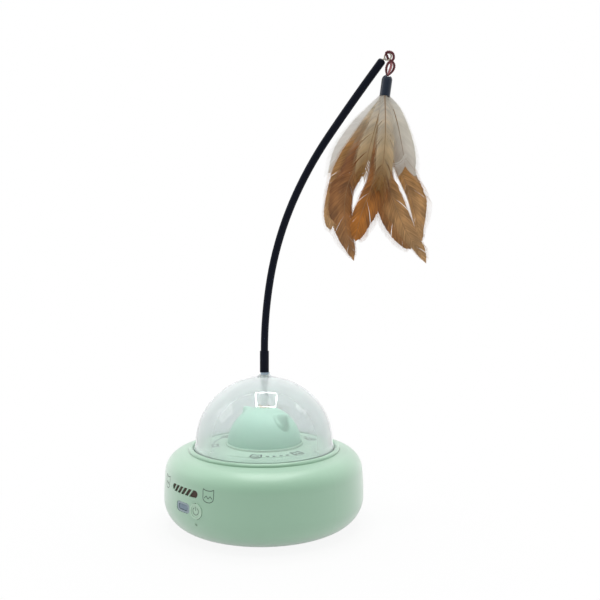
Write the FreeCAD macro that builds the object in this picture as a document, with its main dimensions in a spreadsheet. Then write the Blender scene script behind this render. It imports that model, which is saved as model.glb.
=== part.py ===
# An electronic cat toy: a round base with a clear dome, and a curved wand that turns
# on an upright spindle and carries a feather teaser. Lengths are in millimetres.
# The origin is the middle of the face that the toy rests on, +Z is up, and the control
# panel looks along -Y. Heights named *_z are measured from the floor.
import FreeCAD, Part
import math
import os
import re
import Sketcher

V = FreeCAD.Vector

SIZES = {
    # housing, turned about Z
    "base_radius": 65.0,
    "wall": 2.2,
    "floor_gap": 0.8,
    "under_radius": 17.8,
    "shoulder_z": 34.9,
    "side_draw": 0.8,
    "shoulder_radius": 12.6,
    "shoulder_sweep": 78.0,
    "top_slope": 12.0,
    "top_width": 15.5,
    "rim_depth": 2.228,
    "flange_wall": 2.0,
    "flange_ledge": 1.4,
    "opening_lip": 0.2,
    # loose and close fits
    "ease": 0.2,
    "slip": 0.1,
    "tight": 0.05,
    "running": 0.03,
    # bottom cover and its screws
    "cover_wall": 2.6,
    "pad_margin": 1.2,
    "pad_width": 3.6,
    "pad_sunk": 0.8,
    "screw_margin": 5.5,
    "screw_boss": 3.2,
    "screw_boss_rise": 10.6,
    "screw_core": 1.3,
    "screw_length": 8.0,
    "screw_head": 2.6,
    "screw_head_rise": 1.5,
    "screw_seat": 1.7,
    "rib_wall": 1.6,
    # collar round the dome
    "collar_wall": 3.05,
    "collar_play": 0.55,
    "collar_rise": 2.9,
    "flange_play": 0.3,
    "rim_fullness": 1.01,
    # clear dome
    "dome_flare": 1.0,
    "dome_wall": 1.2,
    "dome_skirt_rise": 3.1,
    "dome_height": 42.3,
    "dome_foot_rise": 4.0,
    "dome_flange": 1.5,
    "dome_flange_wall": 1.0,
    "dome_boss": 5.0,
    "dome_boss_top": 4.0,
    "dome_boss_rise": 1.0,
    "dome_hole": 3.1,
    # deck under the dome
    "deck_play": 0.3,
    "deck_skirt": 1.8,
    "deck_step": 2.2,
    "deck_edge_rise": 3.7,
    "deck_rise": 5.3,
    "deck_flat": 25.6,
    "deck_crown": 150.0,
    "deck_hole": 5.0,
    "post_circle": 26.0,
    "post_radius": 3.5,
    # cat cover
    "cover_radius": 24.0,
    "cover_skin": 1.6,
    "cover_skirt": 0.2,
    "cover_boss": 5.5,
    "cover_boss_rise": 20.2,
    "ear_side": 13.6,
    "ear_foot_rise": 11.7,
    "ear_lean": 20.0,
    "ear_rise": 13.4,
    "ear_half": 6.6,
    "ear_depth": 3.6,
    "ear_tip_half": 1.0,
    "ear_tip_depth": 0.7,
    "ear_rim": 1.1,
    "ear_hollow": 1.6,
    "ear_hollow_tip": 0.11,
    "plinth_wall": 1.2,
    "plinth_rise": 1.6,
    # control panel
    "panel_low_z": 23.1,
    "port_width": 12.6,
    "port_height": 6.0,
    "port_corner": 2.4,
    "port_sunk": 0.3,
    "plug_width": 8.94,
    "plug_height": 3.26,
    "plug_wall": 0.3,
    "plug_depth": 6.4,
    "tongue_width": 6.7,
    "tongue_height": 0.7,
    "tongue_depth": 5.0,
    "button_side": 11.8,
    "button_radius": 4.6,
    "button_proud": 0.4,
    "button_dish": 3.6,
    "button_dish_sunk": 0.35,
    "button_flange": 5.3,
    "button_flange_wall": 0.8,
    "button_stem": 1.6,
    "button_travel": 0.5,
    "switch_width": 6.0,
    "switch_height": 1.6,
    "switch_well": 1.5,
    "plunger_length": 1.45,
    "plunger_play": 0.15,
    "button_flange_back": 4.3,
    "light_z": 14.9,
    "light_radius": 0.85,
    "light_sunk": 0.2,
    "chip_width": 1.6,
    "chip_height": 0.8,
    "slot_z": 32.9,
    "slot_length": 25.2,
    "slot_height": 4.4,
    "slot_pitch": 3.9,
    "slot_bar": 0.85,
    "slot_slant": 37.0,
    "slot_bars": 5,
    "slot_shift": -1.2,
    "slot_wall": 0.6,
    # sound parts behind the slots
    "mesh_half": 15.4,
    "mesh_overlap": 1.9,
    "mesh_wall": 0.5,
    "speaker_half": 13.5,
    "speaker_inset": 5.5,
    "speaker_frame": 3.0,
    "speaker_rim": 2.0,
    "magnet_half": 8.0,
    "magnet_depth": 1.7,
    # circuit board, upright behind the panel
    "board_inset": 10.5,
    "board_wall": 1.6,
    "board_half": 24.0,
    "board_low_z": 11.0,
    "board_high_z": 39.0,
    "board_boss": 2.5,
    "board_boss_inset": 3.0,
    "board_boss_low_z": 18.0,
    "board_boss_high_z": 34.0,
    "board_screw": 1.0,
    "board_screw_length": 5.0,
    "board_screw_head": 1.9,
    "board_screw_head_rise": 1.2,
    # battery and ballast on the bottom cover
    "cell_side_room": 1.2,
    "cell_end_room": 7.0,
    "cell_height": 8.0,
    "cell_near": 5.0,
    "tray_wall": 1.2,
    "tray_floor": 0.8,
    "tray_rise": 6.0,
    "ballast_play": 0.8,
    "ballast_wall": 4.0,
    "ballast_edge": 2.0,
    # gear motor and its bracket
    "tooth_module": 0.6,
    "gear_teeth": 42,
    "pinion_teeth": 14,
    "tooth_play": 0.82,
    "tooth_depth": 1.25,
    "tooth_foot": 1.5,
    "tooth_tip": 0.5,
    "gear_gap": 3.5,
    "gear_wall": 4.0,
    "hub_radius": 5.0,
    "hub_gap": 0.5,
    "pinion_extra": 0.5,
    "post_length": 13.7,
    "bracket_wall": 2.5,
    "bracket_radius": 30.5,
    "motor_width": 12.0,
    "motor_depth": 10.0,
    "gearbox_height": 9.3,
    "can_height": 14.5,
    "shaft_radius": 1.5,
    "shaft_bearing": 4.0,
    "shaft_window": 3.5,
    "bracket_screw": 1.2,
    "bracket_screw_length": 8.0,
    "bracket_screw_head": 2.2,
    "bracket_screw_head_rise": 1.4,
    # spindle, its bushes and the wand's socket
    "spindle_radius": 2.0,
    "spindle_end": 1.1,
    "socket_length": 8.7,
    "bush_radius": 4.0,
    "bush_drop": 1.4,
    "bush_flange": 5.5,
    "bush_flange_wall": 1.0,
    "upper_bush_radius": 3.5,
    "upper_bush_rise": 4.6,
    "clip_radius": 4.0,
    "clip_wall": 0.7,
    "socket_radius": 2.7,
    "socket_proud": 0.3,
    "pin_radius": 1.5,
    "pin_flat": 1.0,
    "pin_length": 7.3,
    "pin_end_room": 0.3,
    # wand, in one upright plane
    "wand_heading": 19.0,
    "ferrule_radius": 2.5,
    "ferrule_rise": 1.5,
    "lug_width": 1.2,
    "lug_reach": 1.1,
    "lug_rise": 0.9,
    "sleeve_radius": 2.95,
    "sleeve_length": 13.8,
    "wand_radius": 2.4,
    "wire_radius": 0.6,
    "straight_length": 13.8,
    "bend_one": 252.7,
    "turn_one": 10.88,
    "bend_two": 191.6,
    "turn_two": 16.75,
    "bend_three": 223.6,
    "turn_three": 10.76,
    "bend_four": 1215.3,
    "turn_four": 2.45,
    "end_cap_length": 3.0,
    "end_cap_round": 1.6,
    # metal eye at the tip, cord loop and teaser
    "eye_reach": 3.4,
    "eye_lift": 25.0,
    "eye_radius": 2.1,
    "eye_wire": 0.5,
    "shank_radius": 0.6,
    "shank_sunk": 1.8,
    "cord_radius": 0.45,
    "loop_play": 0.2,
    "loop_heading": 64.0,
    "loop_top_radius": 2.0,
    "loop_foot_radius": 0.6,
    "loop_side_radius": 9.0,
    "teaser_drop": 10.6,
    "fan_heading": 49.0,
    "teaser_cap_radius": 3.15,
    "teaser_cap_length": 12.6,
    "teaser_cap_lean": 7.5,
    "teaser_cap_wall": 0.6,
    "plug_length": 5.0,
    "notch_room": 0.65,
    "feather_wall": 0.4,
    "feather_pitch": 0.47,
    "feather_fan": 2.9,
    "quill_half": 0.45,
    "quill_gap": 0.3,
}

# Each feather, from the rearmost layer to the foremost: how far its middle and its tip lie
# to the side and below the cap's mouth, and half its width
FEATHERS = {
    "cream_feather_one": dict(middle_side=-22.0, middle_drop=24.0, tip_side=-30.5, tip_drop=41.0, half=8.0),
    "tan_feather_one": dict(middle_side=11.5, middle_drop=41.0, tip_side=22.5, tip_drop=84.0, half=5.0),
    "cream_feather_two": dict(middle_side=9.5, middle_drop=21.0, tip_side=16.5, tip_drop=43.0, half=5.5),
    "tan_feather_two": dict(middle_side=6.0, middle_drop=40.0, tip_side=17.0, tip_drop=90.0, half=5.0),
    "tan_feather_three": dict(middle_side=-20.0, middle_drop=34.0, tip_side=-31.7, tip_drop=76.0, half=6.0),
    "tan_feather_four": dict(middle_side=-14.0, middle_drop=46.0, tip_side=-18.0, tip_drop=96.0, half=6.5),
    "tan_feather_five": dict(middle_side=5.0, middle_drop=46.0, tip_side=25.7, tip_drop=98.0, half=5.5),
    "cream_feather_three": dict(middle_side=-9.0, middle_drop=26.0, tip_side=-14.0, tip_drop=52.0, half=7.0),
    "tan_feather_six": dict(middle_side=-5.5, middle_drop=34.0, tip_side=-11.5, tip_drop=79.0, half=6.0),
    "cream_feather_four": dict(middle_side=0.5, middle_drop=26.0, tip_side=-4.0, tip_drop=59.0, half=6.0),
}
SHEET_FUNCTIONS = {"sin", "cos", "tan", "sqrt"}

# Sizes that follow from others, so that what fits together stays together
DERIVED = {
    # housing
    "shoulder_middle": "base_radius - side_draw - shoulder_radius",
    "side_z": "floor_gap + under_radius",
    "side_bend": "((shoulder_z - side_z)^2 + side_draw^2) / (2 * side_draw)",
    "top_turn_radius": "shoulder_middle + shoulder_radius * cos(shoulder_sweep)",
    "top_turn_z": "shoulder_z + shoulder_radius * sin(shoulder_sweep)",
    "rim_radius": "base_radius - top_width",
    "rim_z": "top_turn_z + (top_turn_radius - rim_radius) * tan(top_slope)",
    "flange_z": "rim_z - rim_depth",
    "flange_low": "flange_z - flange_wall",
    "flange_inside": "deck_radius - deck_skirt - flange_ledge",
    "inner_shoulder": "shoulder_radius - wall",
    "flange_root": "shoulder_middle + sqrt(inner_shoulder^2 - (flange_low - shoulder_z)^2)",
    "opening": "base_radius - under_radius - opening_lip",
    # bottom cover, battery and ballast
    "cover_top": "floor_gap + cover_wall",
    "pad_outside": "opening - ease - pad_margin",
    "pad_inside": "pad_outside - pad_width",
    "screw_circle": "pad_inside - screw_margin",
    "cell_width": "2 * (screw_circle * sqrt(0.5) - screw_boss - tray_wall - ease - cell_side_room)",
    "cell_length": "opening - cell_end_room - cell_near",
    "ballast_radius": "screw_circle - screw_boss - ballast_play",
    # collar, dome and deck
    "collar_outside": "rim_radius - ease",
    "collar_inside": "collar_outside - collar_wall",
    "collar_lip_z": "flange_z + collar_rise",
    "dome_foot_radius": "collar_inside - collar_play",
    "dome_radius": "dome_foot_radius - dome_flare",
    "dome_foot_z": "flange_z + dome_foot_rise",
    "dome_skirt_z": "dome_foot_z + dome_skirt_rise",
    "dome_top_z": "dome_skirt_z + dome_height + dome_boss_rise",
    "deck_radius": "dome_foot_radius - dome_wall - deck_play",
    "deck_low_z": "flange_z + deck_step",
    "deck_edge_z": "flange_z + deck_edge_rise",
    "deck_high_z": "flange_z + deck_rise",
    "cover_middle_z": "deck_high_z + cover_skirt",
    "cover_boss_z": "deck_high_z + cover_boss_rise",
    "ear_z": "deck_high_z + ear_foot_rise",
    # control panel
    "board_front": "base_radius - board_inset",
    "board_boss_side": "board_half - board_boss_inset",
    "speaker_front": "base_radius - speaker_inset",
    "mesh_low_z": "slot_z - slot_height / 2 - mesh_overlap",
    "mesh_high_z": "slot_z + slot_height / 2 + mesh_overlap",
    # gears and spindle
    "bracket_z": "deck_low_z - post_length - bracket_wall",
    "bracket_top": "bracket_z + bracket_wall",
    "gear_z": "bracket_top + gear_gap",
    "hub_z": "bracket_top + bush_flange_wall + hub_gap",
    "centre_distance": "tooth_module * (gear_teeth + pinion_teeth) / 2",
    "bush_foot_z": "bracket_z - bush_drop",
    "clip_z": "bush_foot_z - ease - clip_wall",
    "spindle_foot_z": "clip_z - spindle_end",
    "socket_top_z": "dome_top_z + socket_proud",
    "spindle_top_z": "socket_top_z - socket_length",
}

doc = FreeCAD.newDocument("cat_toy")
sheet = doc.addObject("Spreadsheet::Sheet", "Sizes")
nodes = []


def fill_sheet():
    """Write every driving size into a cell of its own, with its name as the alias"""
    rows = dict(SIZES)
    for feather, sizes in FEATHERS.items():
        rows.update({f"{feather}_{size}": number for size, number in sizes.items()})
    for row, (alias, number) in enumerate(rows.items(), start=1):
        sheet.set(f"A{row}", alias)
        sheet.set(f"B{row}", str(number))
        sheet.setAlias(f"B{row}", alias)
    doc.recompute()


def bound(text):
    """The same sum with each size's name pointing at its cell"""
    def cell(match):
        word = match.group()
        if word in DERIVED:
            return f"({bound(DERIVED[word])})"
        return word if word in SHEET_FUNCTIONS else "Sizes." + word
    return re.sub(r"[a-z][a-z_0-9]*", cell, str(text))


def value(text):
    return float(sheet.evalExpression(bound(text)))


def bind(made, name, text):
    made.setExpression(name, bound(text))


def place(made, x=0, y=0, z=0, turn=None):
    """Put a solid's own origin at x, y, z, after turning it"""
    made.Placement = FreeCAD.Placement(V(), turn or FreeCAD.Rotation())
    for axis, text in zip("xyz", (x, y, z)):
        bind(made, f"Placement.Base.{axis}", text)
    return made


def about(axis, degrees):
    return FreeCAD.Rotation(axis, degrees)


TO_FRONT = about(V(1, 0, 0), 90)  # turns a piece that grows along +Z so that it grows along -Y


def cylinder(name, radius, height, **where):
    made = doc.addObject("Part::Cylinder", name)
    bind(made, "Radius", radius)
    bind(made, "Height", height)
    return place(made, **where)


def cone(name, low_radius, high_radius, height, **where):
    made = doc.addObject("Part::Cone", name)
    bind(made, "Radius1", low_radius)
    bind(made, "Radius2", high_radius)
    bind(made, "Height", height)
    return place(made, **where)


def box(name, length, width, height, **where):
    made = doc.addObject("Part::Box", name)
    for size, text in zip(("Length", "Width", "Height"), (length, width, height)):
        bind(made, size, text)
    return place(made, **where)


def fuse(name, *pieces):
    made = doc.addObject("Part::MultiFuse", name)
    made.Shapes = list(pieces)
    return made


def common(name, *pieces):
    made = doc.addObject("Part::MultiCommon", name)
    made.Shapes = list(pieces)
    return made


def cut(name, base, *tools):
    made = doc.addObject("Part::Cut", name)
    made.Base = base
    made.Tool = tools[0] if len(tools) == 1 else fuse(name + "_tools", *tools)
    return made


def tube(name, outside, inside, height, **where):
    return cut(name, cylinder(name + "_outside", outside, height, **where),
               cylinder(name + "_inside", inside, height, **where))


def centred_box(name, half, depth, height, y, z):
    """A box with its middle on X = 0, from y backwards and from z upwards"""
    return box(name, f"2 * ({half})", depth, height, x=f"-({half})", y=y, z=z)


def front_cylinder(name, radius, inner, outer, x, z):
    """A cylinder along Y at x, z that reaches from inner to outer in front of the axis"""
    return cylinder(name, radius, f"({outer}) - ({inner})", x=x, y=f"-({inner})", z=z, turn=TO_FRONT)


def stadium(name, length, height, inner, outer, x, z):
    """A flat bar with round ends, along Y"""
    reach = f"(({length}) - ({height})) / 2"
    middle = box(name + "_middle", f"2 * {reach}", f"({outer}) - ({inner})", height,
                 x=f"({x}) - {reach}", y=f"-({outer})", z=f"({z}) - ({height}) / 2")
    ends = [front_cylinder(f"{name}_end_{side}", f"({height}) / 2", inner, outer, f"({x}) {sign} {reach}", z)
            for side, sign in (("left", "-"), ("right", "+"))]
    return fuse(name, middle, *ends)


def arc_through(start, end, radius, side):
    """Centre of the smaller arc from start to end, with its middle on the left for side 1"""
    half = (end - start) * 0.5
    left = V(-half.y, half.x, 0).normalize()
    rise = math.sqrt(max(radius ** 2 - half.Length ** 2, 0))
    return start + half + left * (side * rise)


def outline(body, name, plane, corners, lift="0"):
    """A closed sketch. A corner is x, y or, where an arc goes on to the next, x, y, radius, side"""
    sketch = body.newObject("Sketcher::SketchObject", name)
    sketch.AttachmentSupport = [(next(f for f in body.Origin.OriginFeatures if f.Role == plane), "")]
    sketch.MapMode = "FlatFace"
    bind(sketch, "AttachmentOffset.Base.z", lift)
    points = [V(value(corner[0]), value(corner[1]), 0) for corner in corners]
    starts = []
    ends = []
    for corner, start, end in zip(corners, points, points[1:] + points[:1]):
        if len(corner) == 2:
            line = sketch.addGeometry(Part.LineSegment(start, end), False)
            starts.append((line, 1))
            ends.append((line, 2))
            continue
        radius = value(corner[2])
        middle = arc_through(start, end, radius, corner[3])
        first, last = (start, end) if corner[3] > 0 else (end, start)
        angles = [math.atan2(point.y - middle.y, point.x - middle.x) for point in (first, last)]
        circle = Part.Circle(middle, V(0, 0, 1), radius)
        arc = sketch.addGeometry(Part.ArcOfCircle(circle, *angles), False)
        starts.append((arc, 1 if corner[3] > 0 else 2))
        ends.append((arc, 2 if corner[3] > 0 else 1))
        rule = sketch.addConstraint(Sketcher.Constraint("Radius", arc, radius))
        bind(sketch, f"Constraints[{rule}]", corner[2])
    for index, (corner, point) in enumerate(zip(corners, points)):
        sketch.addConstraint(Sketcher.Constraint("Coincident", *ends[index - 1], *starts[index]))
        for kind, text, number, axis in (("DistanceX", corner[0], point.x, -2),
                                         ("DistanceY", corner[1], point.y, -1)):
            if text == "0":
                sketch.addConstraint(Sketcher.Constraint("PointOnObject", *starts[index], axis))
                continue
            rule = sketch.addConstraint(Sketcher.Constraint(kind, -1, 1, *starts[index], number))
            bind(sketch, f"Constraints[{rule}]", text)
    return sketch


def turned(name, corners):
    """A solid turned about Z from corners given as radius and height"""
    body = doc.addObject("PartDesign::Body", name)
    sketch = outline(body, name + "_outline", "XZ_Plane", corners)
    turn = body.newObject("PartDesign::Revolution", name + "_turn")
    turn.Profile = sketch
    turn.ReferenceAxis = (sketch, ["V_Axis"])
    turn.Angle = 360
    sketch.Visibility = False
    body.Tip = turn
    return body


def front_pad(name, corners, inner, outer):
    """A solid padded along -Y from corners given as x and z"""
    body = doc.addObject("PartDesign::Body", name)
    sketch = outline(body, name + "_outline", "XZ_Plane", corners, lift=inner)
    pad = body.newObject("PartDesign::Pad", name + "_pad")
    pad.Profile = sketch
    bind(pad, "Length", f"({outer}) - ({inner})")
    body.Tip = pad
    return body


def rounded_corners(x, z, width, height, radius):
    """Corners of a rounded rectangle, for an outline"""
    left, right = f"({x}) - ({width}) / 2", f"({x}) + ({width}) / 2"
    low, high = f"({z}) - ({height}) / 2", f"({z}) + ({height}) / 2"
    return [(f"{left} + {radius}", low), (f"{right} - {radius}", low, radius, 1),
            (right, f"{low} + {radius}"), (right, f"{high} - {radius}", radius, 1),
            (f"{right} - {radius}", high), (f"{left} + {radius}", high, radius, 1),
            (left, f"{high} - {radius}"), (left, f"{low} + {radius}", radius, 1)]


def keep(made):
    """Make an object one of the toy's nodes, under its own name"""
    made.Label = made.Name
    nodes.append(made)
    return made


def keep_shape(name, shape):
    """A node whose shape is made directly, from sizes read from the sheet"""
    made = doc.addObject("Part::Feature", name)
    made.Shape = shape
    return keep(made)


def around(circle, degrees):
    """X and Y of a place on a circle about the axis"""
    return {"x": f"{circle} * cos({degrees})", "y": f"{circle} * sin({degrees})"}


# Where the screws stand

SCREW_ANGLES = (45, 135, 225, 315)
POST_ANGLES = (90, 210, 330)
BOARD_SPOTS = [(side, level) for side in ("-board_boss_side", "board_boss_side")
               for level in ("board_boss_low_z", "board_boss_high_z")]


def housing_side(inset):
    """Corners of the housing's side from the floor up to the shoulder, moved inwards"""
    return [("base_radius - under_radius", f"floor_gap + {inset}", f"under_radius - {inset}", 1),
            (f"base_radius - {inset}", "side_z", f"side_bend - {inset}", 1),
            (f"shoulder_middle + shoulder_radius - {inset}", "shoulder_z", f"shoulder_radius - {inset}", 1)]


def housing_skin():
    outside = housing_side("0 * wall") + [
        ("top_turn_radius", "top_turn_z"), ("rim_radius", "rim_z"), ("rim_radius", "flange_z"),
        ("flange_inside", "flange_z"), ("flange_inside", "flange_low")]
    inside = [
        ("flange_root", "flange_low", "inner_shoulder", -1),
        ("shoulder_middle + shoulder_radius - wall", "shoulder_z", "side_bend - wall", -1),
        ("base_radius - wall", "side_z", "under_radius - wall", -1),
        ("base_radius - under_radius", "floor_gap + wall"),
        ("opening", "floor_gap + wall"), ("opening", "floor_gap")]
    return turned("housing_skin", outside + inside)


def housing_bosses():
    """Screw bosses with ribs, and the board's bosses, ending inside the wall"""
    inner = "wall / 2"
    core = turned("housing_core", housing_side(inner) + [
        ("shoulder_middle", f"shoulder_z + shoulder_radius - {inner}"),
        ("0", f"shoulder_z + shoulder_radius - {inner}"), ("0", f"floor_gap + {inner}")])
    pieces = []
    for degrees in SCREW_ANGLES:
        pieces.append(cylinder(f"screw_boss_{degrees}", "screw_boss", "screw_boss_rise",
                               z="cover_top", **around("screw_circle", degrees)))
        pieces.append(box(f"screw_rib_{degrees}", "base_radius - screw_circle", "rib_wall",
                          "screw_boss_rise - ease",
                          x=f"screw_circle * cos({degrees}) + rib_wall / 2 * sin({degrees})",
                          y=f"screw_circle * sin({degrees}) - rib_wall / 2 * cos({degrees})",
                          z=f"cover_top + ease", turn=about(V(0, 0, 1), degrees)))
    for number, (side, level) in enumerate(BOARD_SPOTS, start=1):
        pieces.append(front_cylinder(f"board_boss_{number}", "board_boss", "board_front", "base_radius",
                                     side, level))
    return common("housing_bosses", fuse("housing_boss_group", *pieces), core)


def sound_slots():
    """One long round-ended opening, crossed by thin slanted bars"""
    frame = stadium("slot_outline", "slot_length", "slot_height", "board_front", "base_radius + wall",
                    "0", "slot_z")
    bars = []
    for index in range(int(value("slot_bars"))):
        middle = f"(slot_shift + ({index} - (slot_bars - 1) / 2) * slot_pitch)"
        bars.append(box(f"slot_bar_{index + 1}", "slot_bar", "base_radius", "3 * slot_height",
                        x=f"{middle} - slot_bar / 2 * cos(slot_slant) - 1.5 * slot_height * sin(slot_slant)",
                        y="-base_radius - board_front",
                        z="slot_z + slot_bar / 2 * sin(slot_slant) - 1.5 * slot_height * cos(slot_slant)",
                        turn=about(V(0, 1, 0), value("slot_slant"))))
        bind(bars[-1], "Placement.Rotation.Angle", "slot_slant")
    return cut("sound_slots", frame, *bars)


def sound_cone(name, inset):
    """A cone that follows the housing's outside at the sound slots, moved inwards"""
    low = f"(base_radius - side_draw * ((mesh_low_z - side_z) / (shoulder_z - side_z))^2 - ({inset}))"
    high = f"(shoulder_middle + sqrt(shoulder_radius^2 - (mesh_high_z - shoulder_z)^2) - ({inset}))"
    return cone(name, low, high, "mesh_high_z - mesh_low_z", z="mesh_low_z")


def sound_pocket():
    """The inside of the wall is thinned at the slots, so that the mesh lies close to the surface"""
    slab = centred_box("pocket_slab", "mesh_half + slip", "base_radius - board_front",
                       "mesh_high_z - mesh_low_z", y="-base_radius", z="mesh_low_z")
    return common("sound_pocket", sound_cone("pocket_front", "slot_wall"), slab)


def base_shell():
    holes = [cylinder(f"screw_hole_{degrees}", "screw_core + tight", "screw_boss_rise - wall",
                      z="cover_top", **around("screw_circle", degrees)) for degrees in SCREW_ANGLES]
    for number, (side, level) in enumerate(BOARD_SPOTS, start=1):
        holes.append(front_cylinder(f"board_hole_{number}", "board_screw + tight", "board_front",
                                    "board_front + board_screw_length - board_wall + ease", side, level))
    window = rounded_corners("0", "panel_low_z", "port_width + 2 * slip", "port_height + 2 * slip",
                             "port_corner")
    holes.append(front_pad("port_window", window, "board_front", "base_radius + wall"))
    holes.append(front_cylinder("button_hole", "button_radius + ease", "board_front", "base_radius + wall",
                                "button_side", "panel_low_z"))
    holes.append(front_cylinder("light_hole", "light_radius + tight", "board_front", "base_radius",
                                "button_side", "light_z"))
    holes.append(sound_slots())
    holes.append(sound_pocket())
    keep(cut("base_shell", fuse("housing_with_bosses", housing_skin(), housing_bosses()), *holes))


def bottom_cover():
    cover = cylinder("cover_disc", f"opening - ease", "cover_wall", z="floor_gap")
    groove = tube("pad_groove", "pad_outside + slip", "pad_inside - slip", "pad_sunk", z="floor_gap")
    holes = []
    for degrees in SCREW_ANGLES:
        spot = around("screw_circle", degrees)
        for way, radius, depth in (("hole", "screw_core", "cover_wall"), ("seat", "screw_head", "screw_seat")):
            holes.append(cylinder(f"cover_{way}_{degrees}", f"{radius} + ease", depth, z="floor_gap", **spot))
    keep(cut("bottom_cover", cover, groove, *holes))
    keep(tube("anti_slip_ring", "pad_outside", "pad_inside", "floor_gap + pad_sunk", z="0"))


def cover_screws():
    """Four pan-head screws, in one node"""
    seat = "(floor_gap + screw_seat)"
    screws = []
    for degrees in SCREW_ANGLES:
        spot = around("screw_circle", degrees)
        head = cylinder(f"cover_screw_head_{degrees}", "screw_head", "screw_head_rise",
                        z=f"{seat} - screw_head_rise", **spot)
        shank = cylinder(f"cover_screw_shank_{degrees}", "screw_core", "screw_length", z=seat, **spot)
        screws.append(fuse(f"cover_screw_{degrees}", head, shank))
    keep(fuse("cover_screws", *screws))


def collar_ring():
    over_flange = "flange_z + dome_flange_wall + ease"
    foot = "dome_foot_radius + dome_flange + flange_play"
    keep(turned("collar_ring", [
        ("collar_outside", "flange_z"),
        ("collar_outside", "collar_lip_z", "collar_wall / 2 * rim_fullness", 1),
        ("collar_inside", "collar_lip_z"),
        ("collar_inside", over_flange), (foot, over_flange), (foot, "flange_z")]))


# The dome's outline is two arcs that meet smoothly, a side arc and a flatter top arc. They
# follow the ellipse of the same radius and height
SIDE_ARC = "(dome_height^2 / dome_radius)"
TOP_ARC = "(dome_radius * (dome_radius + dome_height) / (2 * dome_height))"
TOP_ARC_Z = f"(dome_skirt_z + dome_height - {TOP_ARC})"
MEET_SHARE = "(dome_radius^2 + 2 * dome_radius * dome_height + 2 * dome_height^2)"


def dome_meet(inset):
    """Radius and height where the side arc meets the top arc"""
    return (f"({TOP_ARC} - {inset}) * 2 * dome_height * (dome_radius + dome_height) / {MEET_SHARE}",
            f"{TOP_ARC_Z} + ({TOP_ARC} - {inset}) * dome_radius"
            f" * (dome_radius + 2 * dome_height) / {MEET_SHARE}")


def dome_z(radius, inset):
    return f"{TOP_ARC_Z} + sqrt(({TOP_ARC} - {inset})^2 - ({radius})^2)"


def clear_dome():
    foot_top = "flange_z + dome_flange_wall"
    inner = "dome_wall"
    keep(turned("clear_dome", [
        ("dome_foot_radius + dome_flange", "flange_z"), ("dome_foot_radius + dome_flange", foot_top),
        ("dome_foot_radius", foot_top), ("dome_foot_radius", "dome_foot_z"),
        ("dome_radius", "dome_skirt_z", SIDE_ARC, 1),
        (*dome_meet("0"), TOP_ARC, 1),
        ("dome_boss", dome_z("dome_boss", "0")), ("dome_boss_top", "dome_top_z"), ("dome_hole", "dome_top_z"),
        ("dome_hole", dome_z("dome_hole", inner), f"{TOP_ARC} - {inner}", -1),
        (*dome_meet(inner), f"{SIDE_ARC} - {inner}", -1),
        (f"dome_radius - {inner}", "dome_skirt_z"),
        (f"dome_foot_radius - {inner}", "dome_foot_z"), (f"dome_foot_radius - {inner}", "flange_z")]))


def deck():
    """The disc under the dome, slightly crowned, with three posts for the motor bracket"""
    skirt = "(deck_radius - deck_skirt)"
    disc = turned("deck_disc", [
        ("deck_hole", "deck_low_z"), (skirt, "deck_low_z"), (skirt, "flange_z"), ("deck_radius", "flange_z"),
        ("deck_radius", "deck_edge_z", "deck_crown", 1),
        ("deck_flat", "deck_high_z"), ("deck_hole", "deck_high_z")])
    post_foot = "(bracket_z + bracket_wall)"
    posts = [cylinder(f"deck_post_{degrees}", "post_radius", f"deck_low_z - {post_foot}",
                      z=post_foot, **around("post_circle", degrees)) for degrees in POST_ANGLES]
    holes = [cylinder(f"deck_post_hole_{degrees}", "bracket_screw + tight", "bracket_screw_length",
                      z=post_foot, **around("post_circle", degrees)) for degrees in POST_ANGLES]
    keep(cut("deck", fuse("deck_with_posts", disc, *posts), *holes))


def ear(side, sign):
    """One ear of the cat cover, a leaning wedge with a hollowed front"""
    def wedge(name, half, tip_half, rise, depth, tip_depth, shift):
        made = doc.addObject("Part::Wedge", name)
        for size, text in (("Xmin", f"-({half})"), ("Xmax", half), ("Zmin", f"-({depth})"), ("Zmax", depth),
                           ("X2min", f"-({tip_half})"), ("X2max", tip_half), ("Z2min", f"-({tip_depth})"),
                           ("Z2max", tip_depth), ("Ymin", 0), ("Ymax", rise)):
            bind(made, size, text)
        lean = about(V(0, 1, 0), sign * value("ear_lean")).multiply(TO_FRONT)
        return place(made, x=f"{sign} * ear_side", y=shift, z="ear_z", turn=lean)
    block = wedge(f"ear_block_{side}", "ear_half", "ear_tip_half", "ear_rise",
                  "ear_depth", "ear_tip_depth", "0")
    hollow = wedge(f"ear_hollow_{side}", "ear_half - ear_rim", "ear_hollow_tip", "ear_rise - 2 * ear_rim",
                   "ear_depth", "ear_tip_depth", "-ear_depth - ear_tip_depth + ear_hollow")
    return cut(f"ear_{side}", block, hollow)


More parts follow.
